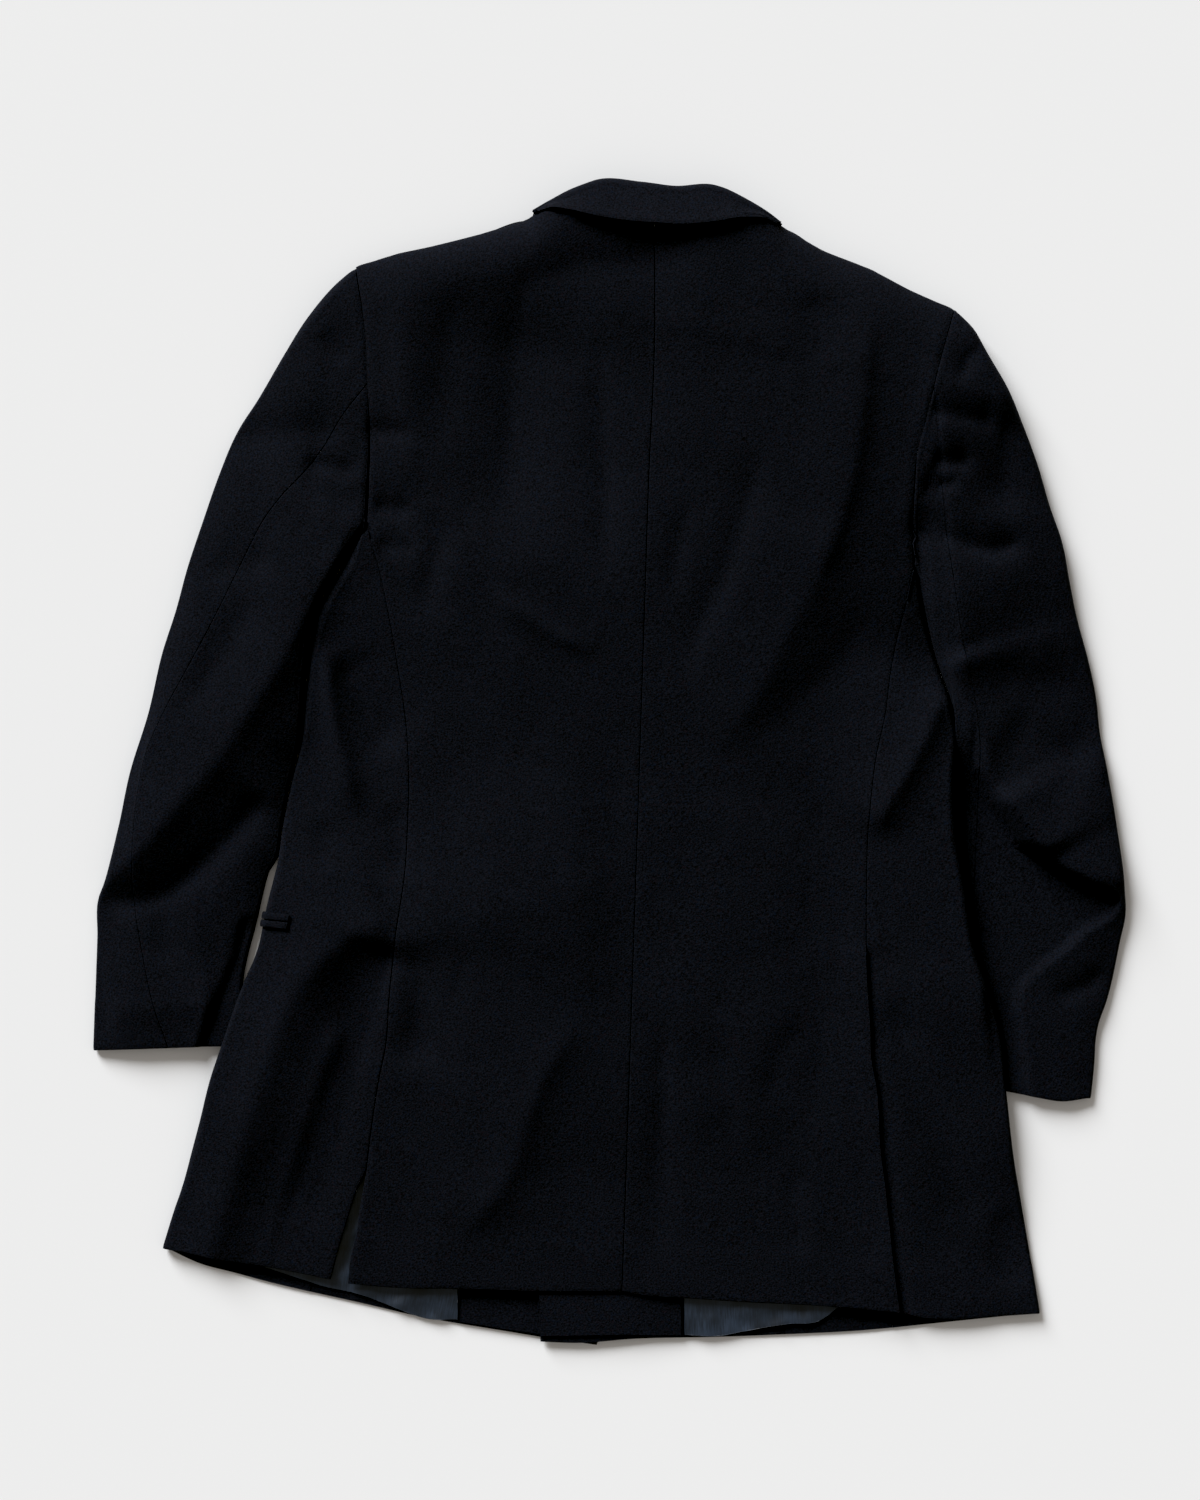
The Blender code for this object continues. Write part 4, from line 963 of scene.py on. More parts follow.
@dataclass
class Shell:
    """A closed thin wall of cloth with rounded edges, from a grid of its outer surface."""

    name: str
    grid: np.ndarray
    thickness: float = WOOL
    stretches: tuple[Stretch, ...] = ()
    upside: bool = True
    # How far the seam allowance at the first row goes on under the next piece's surface.
    tuck: float = 0.0
    above_tuck: Height | None = None
    # The allowance has two rows: one where the tuck ends and one this far beyond the seam.
    # Their depths, and how far both stay below the next piece.
    tuck_start: float = 0.4
    tuck_depths: tuple[float, float] = (2.3, 1.9)
    tuck_clear: float = 0.9
    # A stretch's kind of edge comes in over this share of its side.
    blend: float = 0.01
    # A turned edge's raised cloth falls off over this, where the cloth faces up.
    turned_ramp: float = 4.0
    facing_gain: float = 3.0
    # The largest radius of a rounded rim, and its points' angles in degrees.
    rim: float = 0.45
    rim_angles: tuple[float, ...] = (50.0, 0.0, -50.0)
    # The stated cut is as long and wide as this percentage of the cloth.
    wide_part: float = 80.0

    def outward(self) -> np.ndarray:
        """Unit normals of the outer surface."""
        return normals(self.grid) * (1 if self.upside else -1)

    def shaped(self) -> np.ndarray:
        """Gives the grid the dips of its seams and the steps of its turned edges.

        Returns:
            Points by row and column.
        """
        out = self.outward()
        facing_up = np.clip(out[..., 2] * self.facing_gain, 0, 1)
        change = np.zeros(self.grid.shape[:2])
        down, across = reach(self.grid, 0), reach(self.grid, 1)
        row_share = down[0] / (down[0] + down[1])
        column_share = across[0] / (across[0] + across[1])
        sides = {
            Side.TOP: (down[0], column_share),
            Side.BOTTOM: (down[1], column_share),
            Side.FIRST: (across[0], row_share),
            Side.LAST: (across[1], row_share),
        }
        for stretch in self.stretches:
            form = stretch.edge.value
            distance, share = sides[stretch.side]
            window = np.ones(share.shape)
            if stretch.start > 0:
                window *= ease((share - stretch.start) / self.blend + 0.5)
            if stretch.end < 1:
                window *= ease((stretch.end - share) / self.blend + 0.5)
            edge = -form.dip * np.exp(-((distance / form.dip_width) ** 2))
            turned = 1 - ease((distance - form.turned) / self.turned_ramp + 0.5)
            change += (edge + form.raised * turned * facing_up) * window
        return self.grid + out * change[..., None]

    def tucked(self, outer: np.ndarray, out: np.ndarray) -> tuple[np.ndarray, np.ndarray]:
        """Adds the seam allowance before the first row.

        Args:
            outer: The outer surface.
            out: Its normals.

        Returns:
            Both with the allowance's two rows.
        """
        ahead = along(outer[0] - outer[1], out[0])
        rows = []
        for length, depth in zip((self.tuck, self.tuck_start), self.tuck_depths):
            row = outer[0] + ahead * length - out[0] * depth
            highest = self.above_tuck(row[:, 0], row[:, 1]) - self.thickness - self.tuck_clear
            row[:, 2] = np.minimum(row[:, 2], highest)
            rows.append(row)
        return np.concatenate([rows, outer]), np.concatenate([out[:1], out[:1], out])

    def mesh(self) -> bpy.types.Mesh:
        """Closes the wall.

        Returns:
            The mesh, with its weave's directions as a UV map in metres.
        """
        outer, out = self.shaped(), self.outward()
        if self.tuck:
            outer, out = self.tucked(outer, out)
        outer[..., 2] = np.maximum(outer[..., 2], 0)
        inner = outer - out * self.thickness
        inner[..., 2] = np.maximum(inner[..., 2], 0)
        rows, columns = outer.shape[:2]
        places = ring_of(rows, columns)
        ring = tuple(places.T)
        inwards = tuple(np.clip(places, 1, (rows - 2, columns - 2)).T)
        up = out[ring]
        away = along(outer[ring] - outer[inwards], up)
        half = self.thickness / 2
        radius = min(half, self.rim)
        middle = (outer[ring] + inner[ring]) / 2 - away * radius
        outer[ring] -= away * radius
        inner[ring] -= away * radius
        rims = [
            middle + away * radius * np.cos(angle) + up * half * np.sin(angle)
            for angle in np.radians(self.rim_angles)
        ]
        points = np.vstack([outer.reshape(-1, 3), inner.reshape(-1, 3), *rims])
        points = points + (*PLAN_SHIFT, 0)
        points[:, 2] = np.maximum(points[:, 2], 0)
        count, around = rows * columns, len(places)
        index = np.arange(count).reshape(rows, columns)
        corners = [index[:-1, :-1], index[:-1, 1:], index[1:, 1:], index[1:, :-1]]
        cells = np.stack(corners, axis=-1).reshape(-1, 4)
        faces = [cells, cells[:, ::-1] + count]
        loops = [index[ring]]
        loops += [2 * count + k * around + np.arange(around) for k in range(len(rims))]
        loops.append(index[ring] + count)
        for loop, below in zip(loops[:-1], loops[1:]):
            faces.append(np.stack([loop, np.roll(loop, -1), np.roll(below, -1), below], axis=-1))
        flat = np.stack([reach(outer, 1)[0], reach(outer, 0)[0]], axis=-1)
        weave = [flat.reshape(-1, 2)] * 2 + [flat[ring]] * len(rims)
        return closed_mesh(self.name, points * MM, np.vstack(faces), np.vstack(weave) * MM)

    def cut(self) -> tuple[tuple[float, float], float]:
        """Measures the piece along the cloth.

        Returns:
            Its flat width and length in metres, and its area in square metres.
        """
        edges = reach(self.grid, 1)[0][:, -1], reach(self.grid, 0)[0][-1]
        width, length = (float(np.percentile(edge, self.wide_part)) * MM for edge in edges)
        across = np.diff(self.grid, axis=1)[:-1]
        down = np.diff(self.grid, axis=0)[:, :-1]
        area = float(np.linalg.norm(np.cross(across, down), axis=2).sum()) * MM * MM
        return (width, length), min(area, width * length)


def closed_mesh(
    name: str, points: np.ndarray, faces: np.ndarray, weave: np.ndarray
) -> bpy.types.Mesh:
    """A smooth-shaded closed mesh with its faces turned outwards.

    Args:
        name: The mesh's name.
        points: Points in metres.
        faces: Corners of each quad.
        weave: The weave's place at each point, in metres.

    Returns:
        The mesh.
    """
    a, b, c, d = (points[faces[:, k]] for k in range(4))
    volume = (np.cross(b, c) * a).sum() + (np.cross(c, d) * a).sum()
    if volume < 0:
        faces = faces[:, ::-1]
    mesh = bpy.data.meshes.new(name)
    mesh.from_pydata(points.tolist(), [], faces.tolist())
    layer = mesh.uv_layers.new(name="weave")
    corners = np.empty(len(mesh.loops), np.int32)
    mesh.loops.foreach_get("vertex_index", corners)
    layer.data.foreach_set("uv", weave[corners].astype(np.float32).ravel())
    mesh.shade_smooth()
    mesh.validate()
    return mesh


def linear(code: str) -> tuple[float, float, float, float]:
    """The linear colour of an sRGB hex code.

    Args:
        code: The code, such as "#808080".

    Returns:
        Red, green, blue and an alpha of 1.
    """
    channels = [int(code[k : k + 2], 16) / 255 for k in (1, 3, 5)]
    parts = [c / 12.92 if c <= 0.04045 else ((c + 0.055) / 1.055) ** 2.4 for c in channels]
    return (*parts, 1.0)


Input = float | tuple[float, ...] | bpy.types.NodeSocket
Inputs = dict[str | int, Input]


@dataclass(frozen=True)
class Wiring:
    """One material's node tree, with the ways in which its nodes are added and joined."""

    tree: bpy.types.NodeTree

    def feed(self, node: bpy.types.Node, inputs: Inputs) -> None:
        """Sets a node's inputs or links them.

        Args:
            node: The node.
            inputs: Values or sockets, by the name or number of the input.
        """
        for name, value in inputs.items():
            if isinstance(value, bpy.types.NodeSocket):
                self.tree.links.new(value, node.inputs[name])
            else:
                node.inputs[name].default_value = value

    def add(self, kind: str, inputs: Inputs, **settings: str) -> bpy.types.NodeOutputs:
        """Adds a shader node.

        Args:
            kind: The node's type, without its prefix.
            inputs: Its inputs' values or sockets.
            **settings: The node's own settings.

        Returns:
            The node's outputs.
        """
        node = self.tree.nodes.new(f"ShaderNode{kind}")
        for name, value in settings.items():
            setattr(node, name, value)
        self.feed(node, inputs)
        return node.outputs

    def noise(
        self, vector: bpy.types.NodeSocket, scale: float, detail: float, roughness: float = 0.5
    ) -> bpy.types.NodeSocket:
        """Adds soft noise.

        Args:
            vector: Where it is read.
            scale: Its cells per metre.
            detail: How many finer layers it has.
            roughness: How strong those are.

        Returns:
            The noise, from 0 to 1.
        """
        inputs = {"Vector": vector, "Scale": scale, "Detail": detail, "Roughness": roughness}
        return self.add("TexNoise", inputs)["Fac"]

    def spread(
        self, value: bpy.types.NodeSocket, low: float, high: float,
        to_low: float = 0.0, to_high: float = 1.0,
    ) -> bpy.types.NodeSocket:
        """Spreads a value from one range to another.

        Args:
            value: The value to spread.
            low: What becomes to_low.
            high: What becomes to_high.
            to_low: The result's one end.
            to_high: Its other end.

        Returns:
            The spread value, which stays between its ends.
        """
        inputs = {"Value": value, "From Min": low, "From Max": high}
        return self.add("MapRange", {**inputs, "To Min": to_low, "To Max": to_high})["Result"]

    def blend(self, factor: Input, first: Input, second: Input) -> bpy.types.NodeSocket:
        """A colour between two others, by a factor from 0 to 1."""
        return self.add("Mix", {0: factor, 6: first, 7: second}, data_type="RGBA")[2]

    def bump(self, height: Input, strength: float, distance: float) -> bpy.types.NodeSocket:
        """A normal that follows a height, whose range stands for this distance in metres."""
        inputs = {"Height": height, "Strength": strength, "Distance": distance}
        return self.add("Bump", inputs)["Normal"]


@dataclass(frozen=True)
class Finish:
    """A finish with its material's name and the record's slot that it belongs to."""

    name: str = "finish"
    slot: str = ""

    def material(self) -> bpy.types.Material:
        """Makes the material once.

        Returns:
            The material.
        """
        made = bpy.data.materials.get(self.name)
        if made is None:
            made = bpy.data.materials.new(self.name)
            made.use_nodes = True
            self.wire(Wiring(made.node_tree), made.node_tree.nodes["Principled BSDF"])
        return made

    def wire(self, wiring: Wiring, shader: bpy.types.Node) -> None:
        """Sets the shader's values and patterns.

        Args:
            wiring: The material's node tree.
            shader: Its Principled BSDF.
        """
        raise NotImplementedError


@dataclass(frozen=True)
class FulledWool(Finish):
    """Woollen twill, milled until a short nap hides most of its weave: matt, almost black."""

    name: str = "fulled wool twill"
    slot: str = "wool"
    yarn: str = "#07070a"
    nap: str = "#161921"
    warm_fibre: str = "#17131a"
    cool_fibre: str = "#0f1522"
    sheen: str = "#9aa0b8"
    # The cells of the noise that draws the nap's tufts, the fibres' tints and the wear.
    tuft_mm: float = 1.3
    tint_mm: float = 1.5
    wear_mm: float = 30.0
    # The wave texture's scale, at which the faint ribs come 4.5 mm apart. The real ones are
    # 0.8 mm apart and too fine to show.
    rib_scale: float = 98.125
    # How much higher the tufts stand than the ribs, and the height of both in metres.
    tuft_height: float = 14.0
    relief: float = 0.00009

    def wire(self, wiring: Wiring, shader: bpy.types.Node) -> None:
        """Draws nap tufts over faint twill ribs, with warm and cool fibres.

        Args:
            wiring: The material's node tree.
            shader: Its Principled BSDF.
        """
        place = wiring.add("TexCoord", {})
        tufts, tint, wear = (
            wiring.noise(place["Object"], 1 / (cell * MM), detail, roughness)
            for cell, detail, roughness in (
                (self.tuft_mm, 2.5, 0.65), (self.tint_mm, 3.0, 0.5), (self.wear_mm, 2.0, 0.5)
            )
        )
        ribs = wiring.add(
            "TexWave",
            {"Vector": place["UV"], "Scale": self.rib_scale, "Distortion": 3.0, "Detail": 1.0,
             "Detail Scale": 2.0},
            wave_type="BANDS", bands_direction="DIAGONAL",
        )["Fac"]
        nap = wiring.spread(tufts, 0.34, 0.66)
        colour = wiring.blend(nap, linear(self.yarn), linear(self.nap))
        for fibre, low, high in ((self.warm_fibre, 0.55, 0.75), (self.cool_fibre, 0.45, 0.25)):
            colour = wiring.blend(wiring.spread(tint, low, high), colour, linear(fibre))
        worn = wiring.spread(wear, 0.25, 0.75, 0.96, 1.05)
        ribbed = wiring.spread(ribs, 0.0, 1.0, 0.98, 1.02)
        tone = wiring.add("Math", {0: worn, 1: ribbed}, operation="MULTIPLY")[0]
        toned = wiring.add("VectorMath", {0: colour, "Scale": tone}, operation="SCALE")["Vector"]
        height = {0: tufts, 1: self.tuft_height, 2: ribs}
        height = wiring.add("Math", height, operation="MULTIPLY_ADD")[0]
        wiring.feed(shader, {
            "Base Color": toned,
            "Normal": wiring.bump(height, 0.5, self.relief),
            "Roughness": wiring.spread(tufts, 0.0, 1.0, 0.86, 0.98),
            "Specular IOR Level": 0.05,
            "Sheen Weight": 0.02,
            "Sheen Roughness": 0.45,
            "Sheen Tint": linear(self.sheen),
        })


@dataclass(frozen=True)
class SatinLining(Finish):
    """Satin-woven viscose: smooth slate blue, glossy along its folds, with paler streaks of painted
    sheen along the weave's floats.
    """

    name: str = "satin viscose lining"
    slot: str = "lining"
    ground: str = "#141b24"
    # The paler colour of the painted sheen, streaked along the weave's floats.
    painted_sheen: str = "#273241"
    # The noise that draws the weave's floats has cells this wide. Along the cloth its scale
    # is this share of that, which draws the cells out.
    float_mm: float = 0.9
    drawn_out: float = 0.08
    # Cells per metre of the slow drifts of tone.
    drift_scale: float = 70.0
    relief: float = 0.0001

    def wire(self, wiring: Wiring, shader: bpy.types.Node) -> None:
        """Paints sheen as paler lines along the weave's floats, with slow drifts of tone.

        Args:
            wiring: The material's node tree.
            shader: Its Principled BSDF.
        """
        place = wiring.add("TexCoord", {})
        drawn = {"Vector": place["UV"], "Scale": (1.0, self.drawn_out, 1.0)}
        lines = wiring.noise(wiring.add("Mapping", drawn)["Vector"], 1 / (self.float_mm * MM), 2.0)
        drift = wiring.noise(place["Object"], self.drift_scale, 2.0)
        mixed = wiring.add("Math", {0: lines, 1: drift}, operation="MULTIPLY")[0]
        # Painted sheen: where the floats' lines and the drifts are high, the base colour turns
        # paler.
        painted_sheen = wiring.spread(mixed, 0.12, 0.42)
        wiring.feed(shader, {
            "Base Color": wiring.blend(painted_sheen, linear(self.ground), linear(self.painted_sheen)),
            "Roughness": wiring.spread(lines, 0.0, 1.0, 0.38, 0.52),
            "Normal": wiring.bump(lines, 0.2, self.relief),
            "Specular IOR Level": 0.35,
        })


@dataclass(frozen=True)
class PolishedHorn(Finish):
    """Dark polished horn: brown-black with paler streaks and a soft gloss."""

    name: str = "polished dark horn"
    slot: str = "horn"
    ground: str = "#14110f"
    streak: str = "#3a302a"
    # The wave texture's scale, at which the streaks come about 5 mm apart.
    streak_scale: float = 60.0

    def wire(self, wiring: Wiring, shader: bpy.types.Node) -> None:
        """Draws streaks that run through the horn.

        Args:
            wiring: The material's node tree.
            shader: Its Principled BSDF.
        """
        place = wiring.add("TexCoord", {})
        wave = {"Vector": place["Object"], "Scale": self.streak_scale, "Distortion": 9.0}
        streaks = wiring.add("TexWave", {**wave, "Detail": 3.0})["Fac"]
        pale = wiring.spread(streaks, 0.55, 1.0)
        wiring.feed(shader, {
            "Base Color": wiring.blend(pale, linear(self.ground), linear(self.streak)),
            "Roughness": wiring.spread(streaks, 0.0, 1.0, 0.28, 0.4),
        })


@dataclass(frozen=True)
class PaleFloor(Finish):
    """A plain painted board: off-white and matt."""

    name: str = "matt off-white paint"
    paint: str = "#f0f1f2"

    def wire(self, wiring: Wiring, shader: bpy.types.Node) -> None:
        """One even coat."""
        coat = {"Base Color": linear(self.paint), "Roughness": 0.9, "Specular IOR Level": 0.1}
        wiring.feed(shader, coat)


WOOL_FINISH = FulledWool()
LINING_FINISH = SatinLining()
HORN_FINISH = PolishedHorn()


def place_piece(
    mesh: bpy.types.Mesh, name: str, finish: Finish, node: str | None
) -> bpy.types.Object:
    """An object for a finished mesh, which rides with the blazer.

    Args:
        mesh: The mesh, already in its place.
        name: The object's name.
        finish: Its finish.
        node: The solid that it stands for, if any.

    Returns:
        The object.
    """
    piece = bpy.data.objects.new(name, mesh)
    bpy.context.scene.collection.objects.link(piece)
    mesh.materials.clear()
    mesh.materials.append(finish.material())
    if node:
        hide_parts(node)
    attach(piece, "root")
    return piece


def lay(shell: Shell, node: str, finish: Finish) -> None:
    """Makes a shell's piece, in place of its solid, and states its cut.

    Args:
        shell: The cloth.
        node: The solid that it stands for.
        finish: Its finish.
    """
    piece = place_piece(shell.mesh(), shell.name, finish, node)
    flat, area = shell.cut()
    flat = tuple(max(side, NARROWEST_CUT * MM) for side in flat)
    faces, size = len(piece.data.polygons), [side / MM for side in flat]
    LOG.info("%s: %d faces, cut %.0f x %.0f mm", shell.name, faces, *size)


@dataclass
class Wrap:
    """A wall that wraps from an upper seam round an edge to a lower seam."""

    upper: np.ndarray
    edge: np.ndarray
    lower: np.ndarray
    # The lines of the first row and of the last, each above the edge and below it.
    first: tuple[Line, Line]
    last: tuple[Line, Line]
    rows: np.ndarray
    above: np.ndarray
    below: np.ndarray
    arc_steps: int = 12
    widest_roll: float = 0.4

    def grid(self, height: Callable[[np.ndarray], np.ndarray], floor: Height) -> np.ndarray:
        """The outer surface.

        Args:
            height: The upper surface's height at a grid of plan points.
            floor: The lower surface's height at plan places.

        Returns:
            Points by row and column.
        """
        inward = self.upper - self.edge
        width = np.hypot(*inward.T)
        inward = inward / width[:, None]
        tall = height(self.edge[:, None])[:, 0] - floor(self.edge[:, 0], self.edge[:, 1])
        radius = np.minimum(tall / 2, self.widest_roll * width)
        shoulder = self.edge + inward * radius[:, None]
        halves = ((self.upper, shoulder, self.above), (shoulder, self.lower, self.below))
        above, below = (
            drawn_in(patch(left, right, top, bottom, self.rows, columns))
            for (left, right, columns), top, bottom in zip(halves, self.first, self.last)
        )
        above[:, -1] = below[:, 0] = (above[:, -1] + below[:, 0]) / 2
        high = height(above)
        low = floor(below[..., 0], below[..., 1])
        middle = (high[:, -1] + low[:, 0]) / 2
        half = (high[:, -1] - low[:, 0]) / 2
        arc = []
        for angle in np.linspace(np.pi / 2, -np.pi / 2, self.arc_steps + 1)[1:-1]:
            plan = above[:, -1] - inward * (radius * np.cos(angle))[:, None]
            arc.append(np.column_stack([plan, middle + half * np.sin(angle)]))
        walls = with_height(above, high), np.stack(arc, axis=1), with_height(below, low)
        return np.concatenate(walls, axis=1)


@dataclass
class Back:
    """The back, in two halves that meet at the centre seam."""

    form: BodyForm
    step: float = 4.2

    def half(self, side: str) -> Shell:
        """One half of the back.

        Args:
            side: Left or right.

        Returns:
            Its shell.
        """
        outline = Line.through(
            ARMHOLE_UPPER[side], ARMHOLE_LOWER[side], SIDE_SEAM[side], VENT_BACK[side]
        )
        armhole_end = outline.share_at(SIDE_SEAM[side][0][1])
        vent_start = outline.share_at(VENT_TOP[side])
        top = Line.through(NECK[side], SHOULDER[side])
        rows, columns = spread(outline.length(), self.step), spread(top.length(), self.step)
        centre, hem = Line.through(CENTRE_SEAM), Line.through(HEM_BACK[side])
        plan = drawn_in(patch(centre.at(rows), outline.at(rows), top, hem, rows, columns))
        vent = Edge.FOLDED if side == "left" else Edge.LAPPED_OVER
        return Shell(
            name=f"cloth_back_{side}",
            grid=with_height(plan, self.form.upper(plan[..., 0], plan[..., 1])),
            stretches=(
                Stretch(Side.FIRST, Edge.SEAM),
                Stretch(Side.LAST, Edge.ARMHOLE, end=armhole_end),
                Stretch(Side.LAST, Edge.SEAM, start=armhole_end, end=vent_start),
                Stretch(Side.LAST, vent, start=vent_start),
                Stretch(Side.BOTTOM, Edge.HEM),
            ),
        )

    def build(self) -> None:
        """Lays both halves."""
        for side in SIDES:
            lay(self.half(side), f"back_{side}", WOOL_FINISH)


@dataclass
class SidePanel:
    """A side panel, wrapped round the body's edge, with its hip pocket's jets."""

    form: BodyForm
    side: str
    step: float = 4.2
    # About how wide the panel is above the body's edge and below it.
    widths: tuple[float, float] = (100.0, 105.0)
    # The jets' columns, as places in the solid's panel, which has this many columns on each
    # side of the edge and as many round it.
    solid_columns: int = 5
    jet_columns: dict[str, tuple[float, float]] = field(
        default_factory=lambda: {"left": (4.2, 14.6), "right": (11.6, 14.6)}
    )
    # The y of the jets' edges.
    jet_edges: dict[str, tuple[float, float]] = field(
        default_factory=lambda: {"upper": (-112.0, -117.0), "lower": (-117.8, -122.8)}
    )
    # A jet's rows and columns, and how much lower its edges lie than its middle.
    jet_rows: int = 7
    jet_length: int = 44
    jet_fall: float = 0.35

    def wrap(self, seam_line: Line) -> Wrap:
        """The panel's seams, edge and hems.

        Args:
            seam_line: The side seam with the vent's edge.

        Returns:
            What its grid is made from.
        """
        side = self.side
        rows = spread(seam_line.length(), self.step)
        seam, edge = seam_line.at(rows), Line.through(BODY_EDGE[side]).at(rows)
        lower = Line.through(UNDER_SEAM[side]).at(rows)
        first = Line.through([seam[0], edge[0]]), Line.through([edge[0], lower[0]])
        last = Line.through(HEM_SIDE[side]), Line.through(HEM_UNDER[side])
        above, below = (spread(width, self.step) for width in self.widths)
        return Wrap(seam, edge, lower, first, last, rows, above, below)

    def build(self) -> None:
        """Lays the panel and its jets."""
        seam_line = Line.through(SIDE_SEAM[self.side], VENT_SIDE[self.side])
        vent_start = seam_line.share_at(VENT_TOP[self.side])
        vent = Edge.FOLDED if self.side == "left" else Edge.LAPPED_UNDER
        wrap = self.wrap(seam_line)
        shell = Shell(
            name=f"cloth_side_{self.side}",
            grid=wrap.grid(
                lambda plan: self.form.upper(plan[..., 0], plan[..., 1]), self.form.floor
            ),
            stretches=(
                Stretch(Side.FIRST, Edge.SEAM, end=vent_start),
                Stretch(Side.FIRST, vent, start=vent_start),
                Stretch(Side.LAST, Edge.SEAM),
                Stretch(Side.BOTTOM, Edge.HEM),
            ),
        )
        lay(shell, f"side_{self.side}", WOOL_FINISH)
        self.pocket(shell.shaped(), wrap)

    def pocket(self, grid: np.ndarray, wrap: Wrap) -> None:
        """Lays the two jets, made from the panel's points, moved out.

        Args:
            grid: The panel's outer surface.
            wrap: Its seams and columns.
        """
        out = normals(grid)
        above, below, arc = len(wrap.above), len(wrap.below), wrap.arc_steps - 1
        count = self.solid_columns
        places = np.concatenate([
            wrap.above * count,
            count + count * np.arange(1, arc + 1) / (arc + 1),
            2 * count + wrap.below * count,
        ])
        wanted = np.linspace(*self.jet_columns[self.side], self.jet_length)
        columns = np.interp(wanted, places, np.arange(above + arc + below))
        edge_y = grid[::-1, above + arc // 2, 1]
        across = (np.linspace(-1, 1, self.jet_rows) ** 2)[:, None, None]
        bulge = (JET_GAP + JET) - self.jet_fall * across
        for name, edges in self.jet_edges.items():
            wanted = np.linspace(*edges, self.jet_rows)
            rows = len(grid) - 1 - np.interp(wanted, edge_y, np.arange(len(grid)))
            points, up = sample(grid, rows, columns), sample(out, rows, columns)
            upside = float(up[..., 2].mean()) >= 0
            jet = Shell(f"cloth_jet_{name}_{self.side}", points + up * bulge, JET, upside=upside)
            lay(jet, f"jet_{name}_{self.side}", WOOL_FINISH)


def sample(grid: np.ndarray, rows: np.ndarray, columns: np.ndarray) -> np.ndarray:
    """A grid's values at fractional rows and columns.

    Args:
        grid: Values by row and column.
        rows: Fractional rows.
        columns: Fractional columns.

    Returns:
        The values, by the given rows and columns.
    """
    i = np.minimum(rows.astype(int), len(grid) - 2)
    j = np.minimum(columns.astype(int), grid.shape[1] - 2)
    v, u = (rows - i)[:, None, None], (columns - j)[None, :, None]
    near, far = (grid[row][:, j] * (1 - u) + grid[row][:, j + 1] * u for row in (i, i + 1))
    return near * (1 - v) + far * v


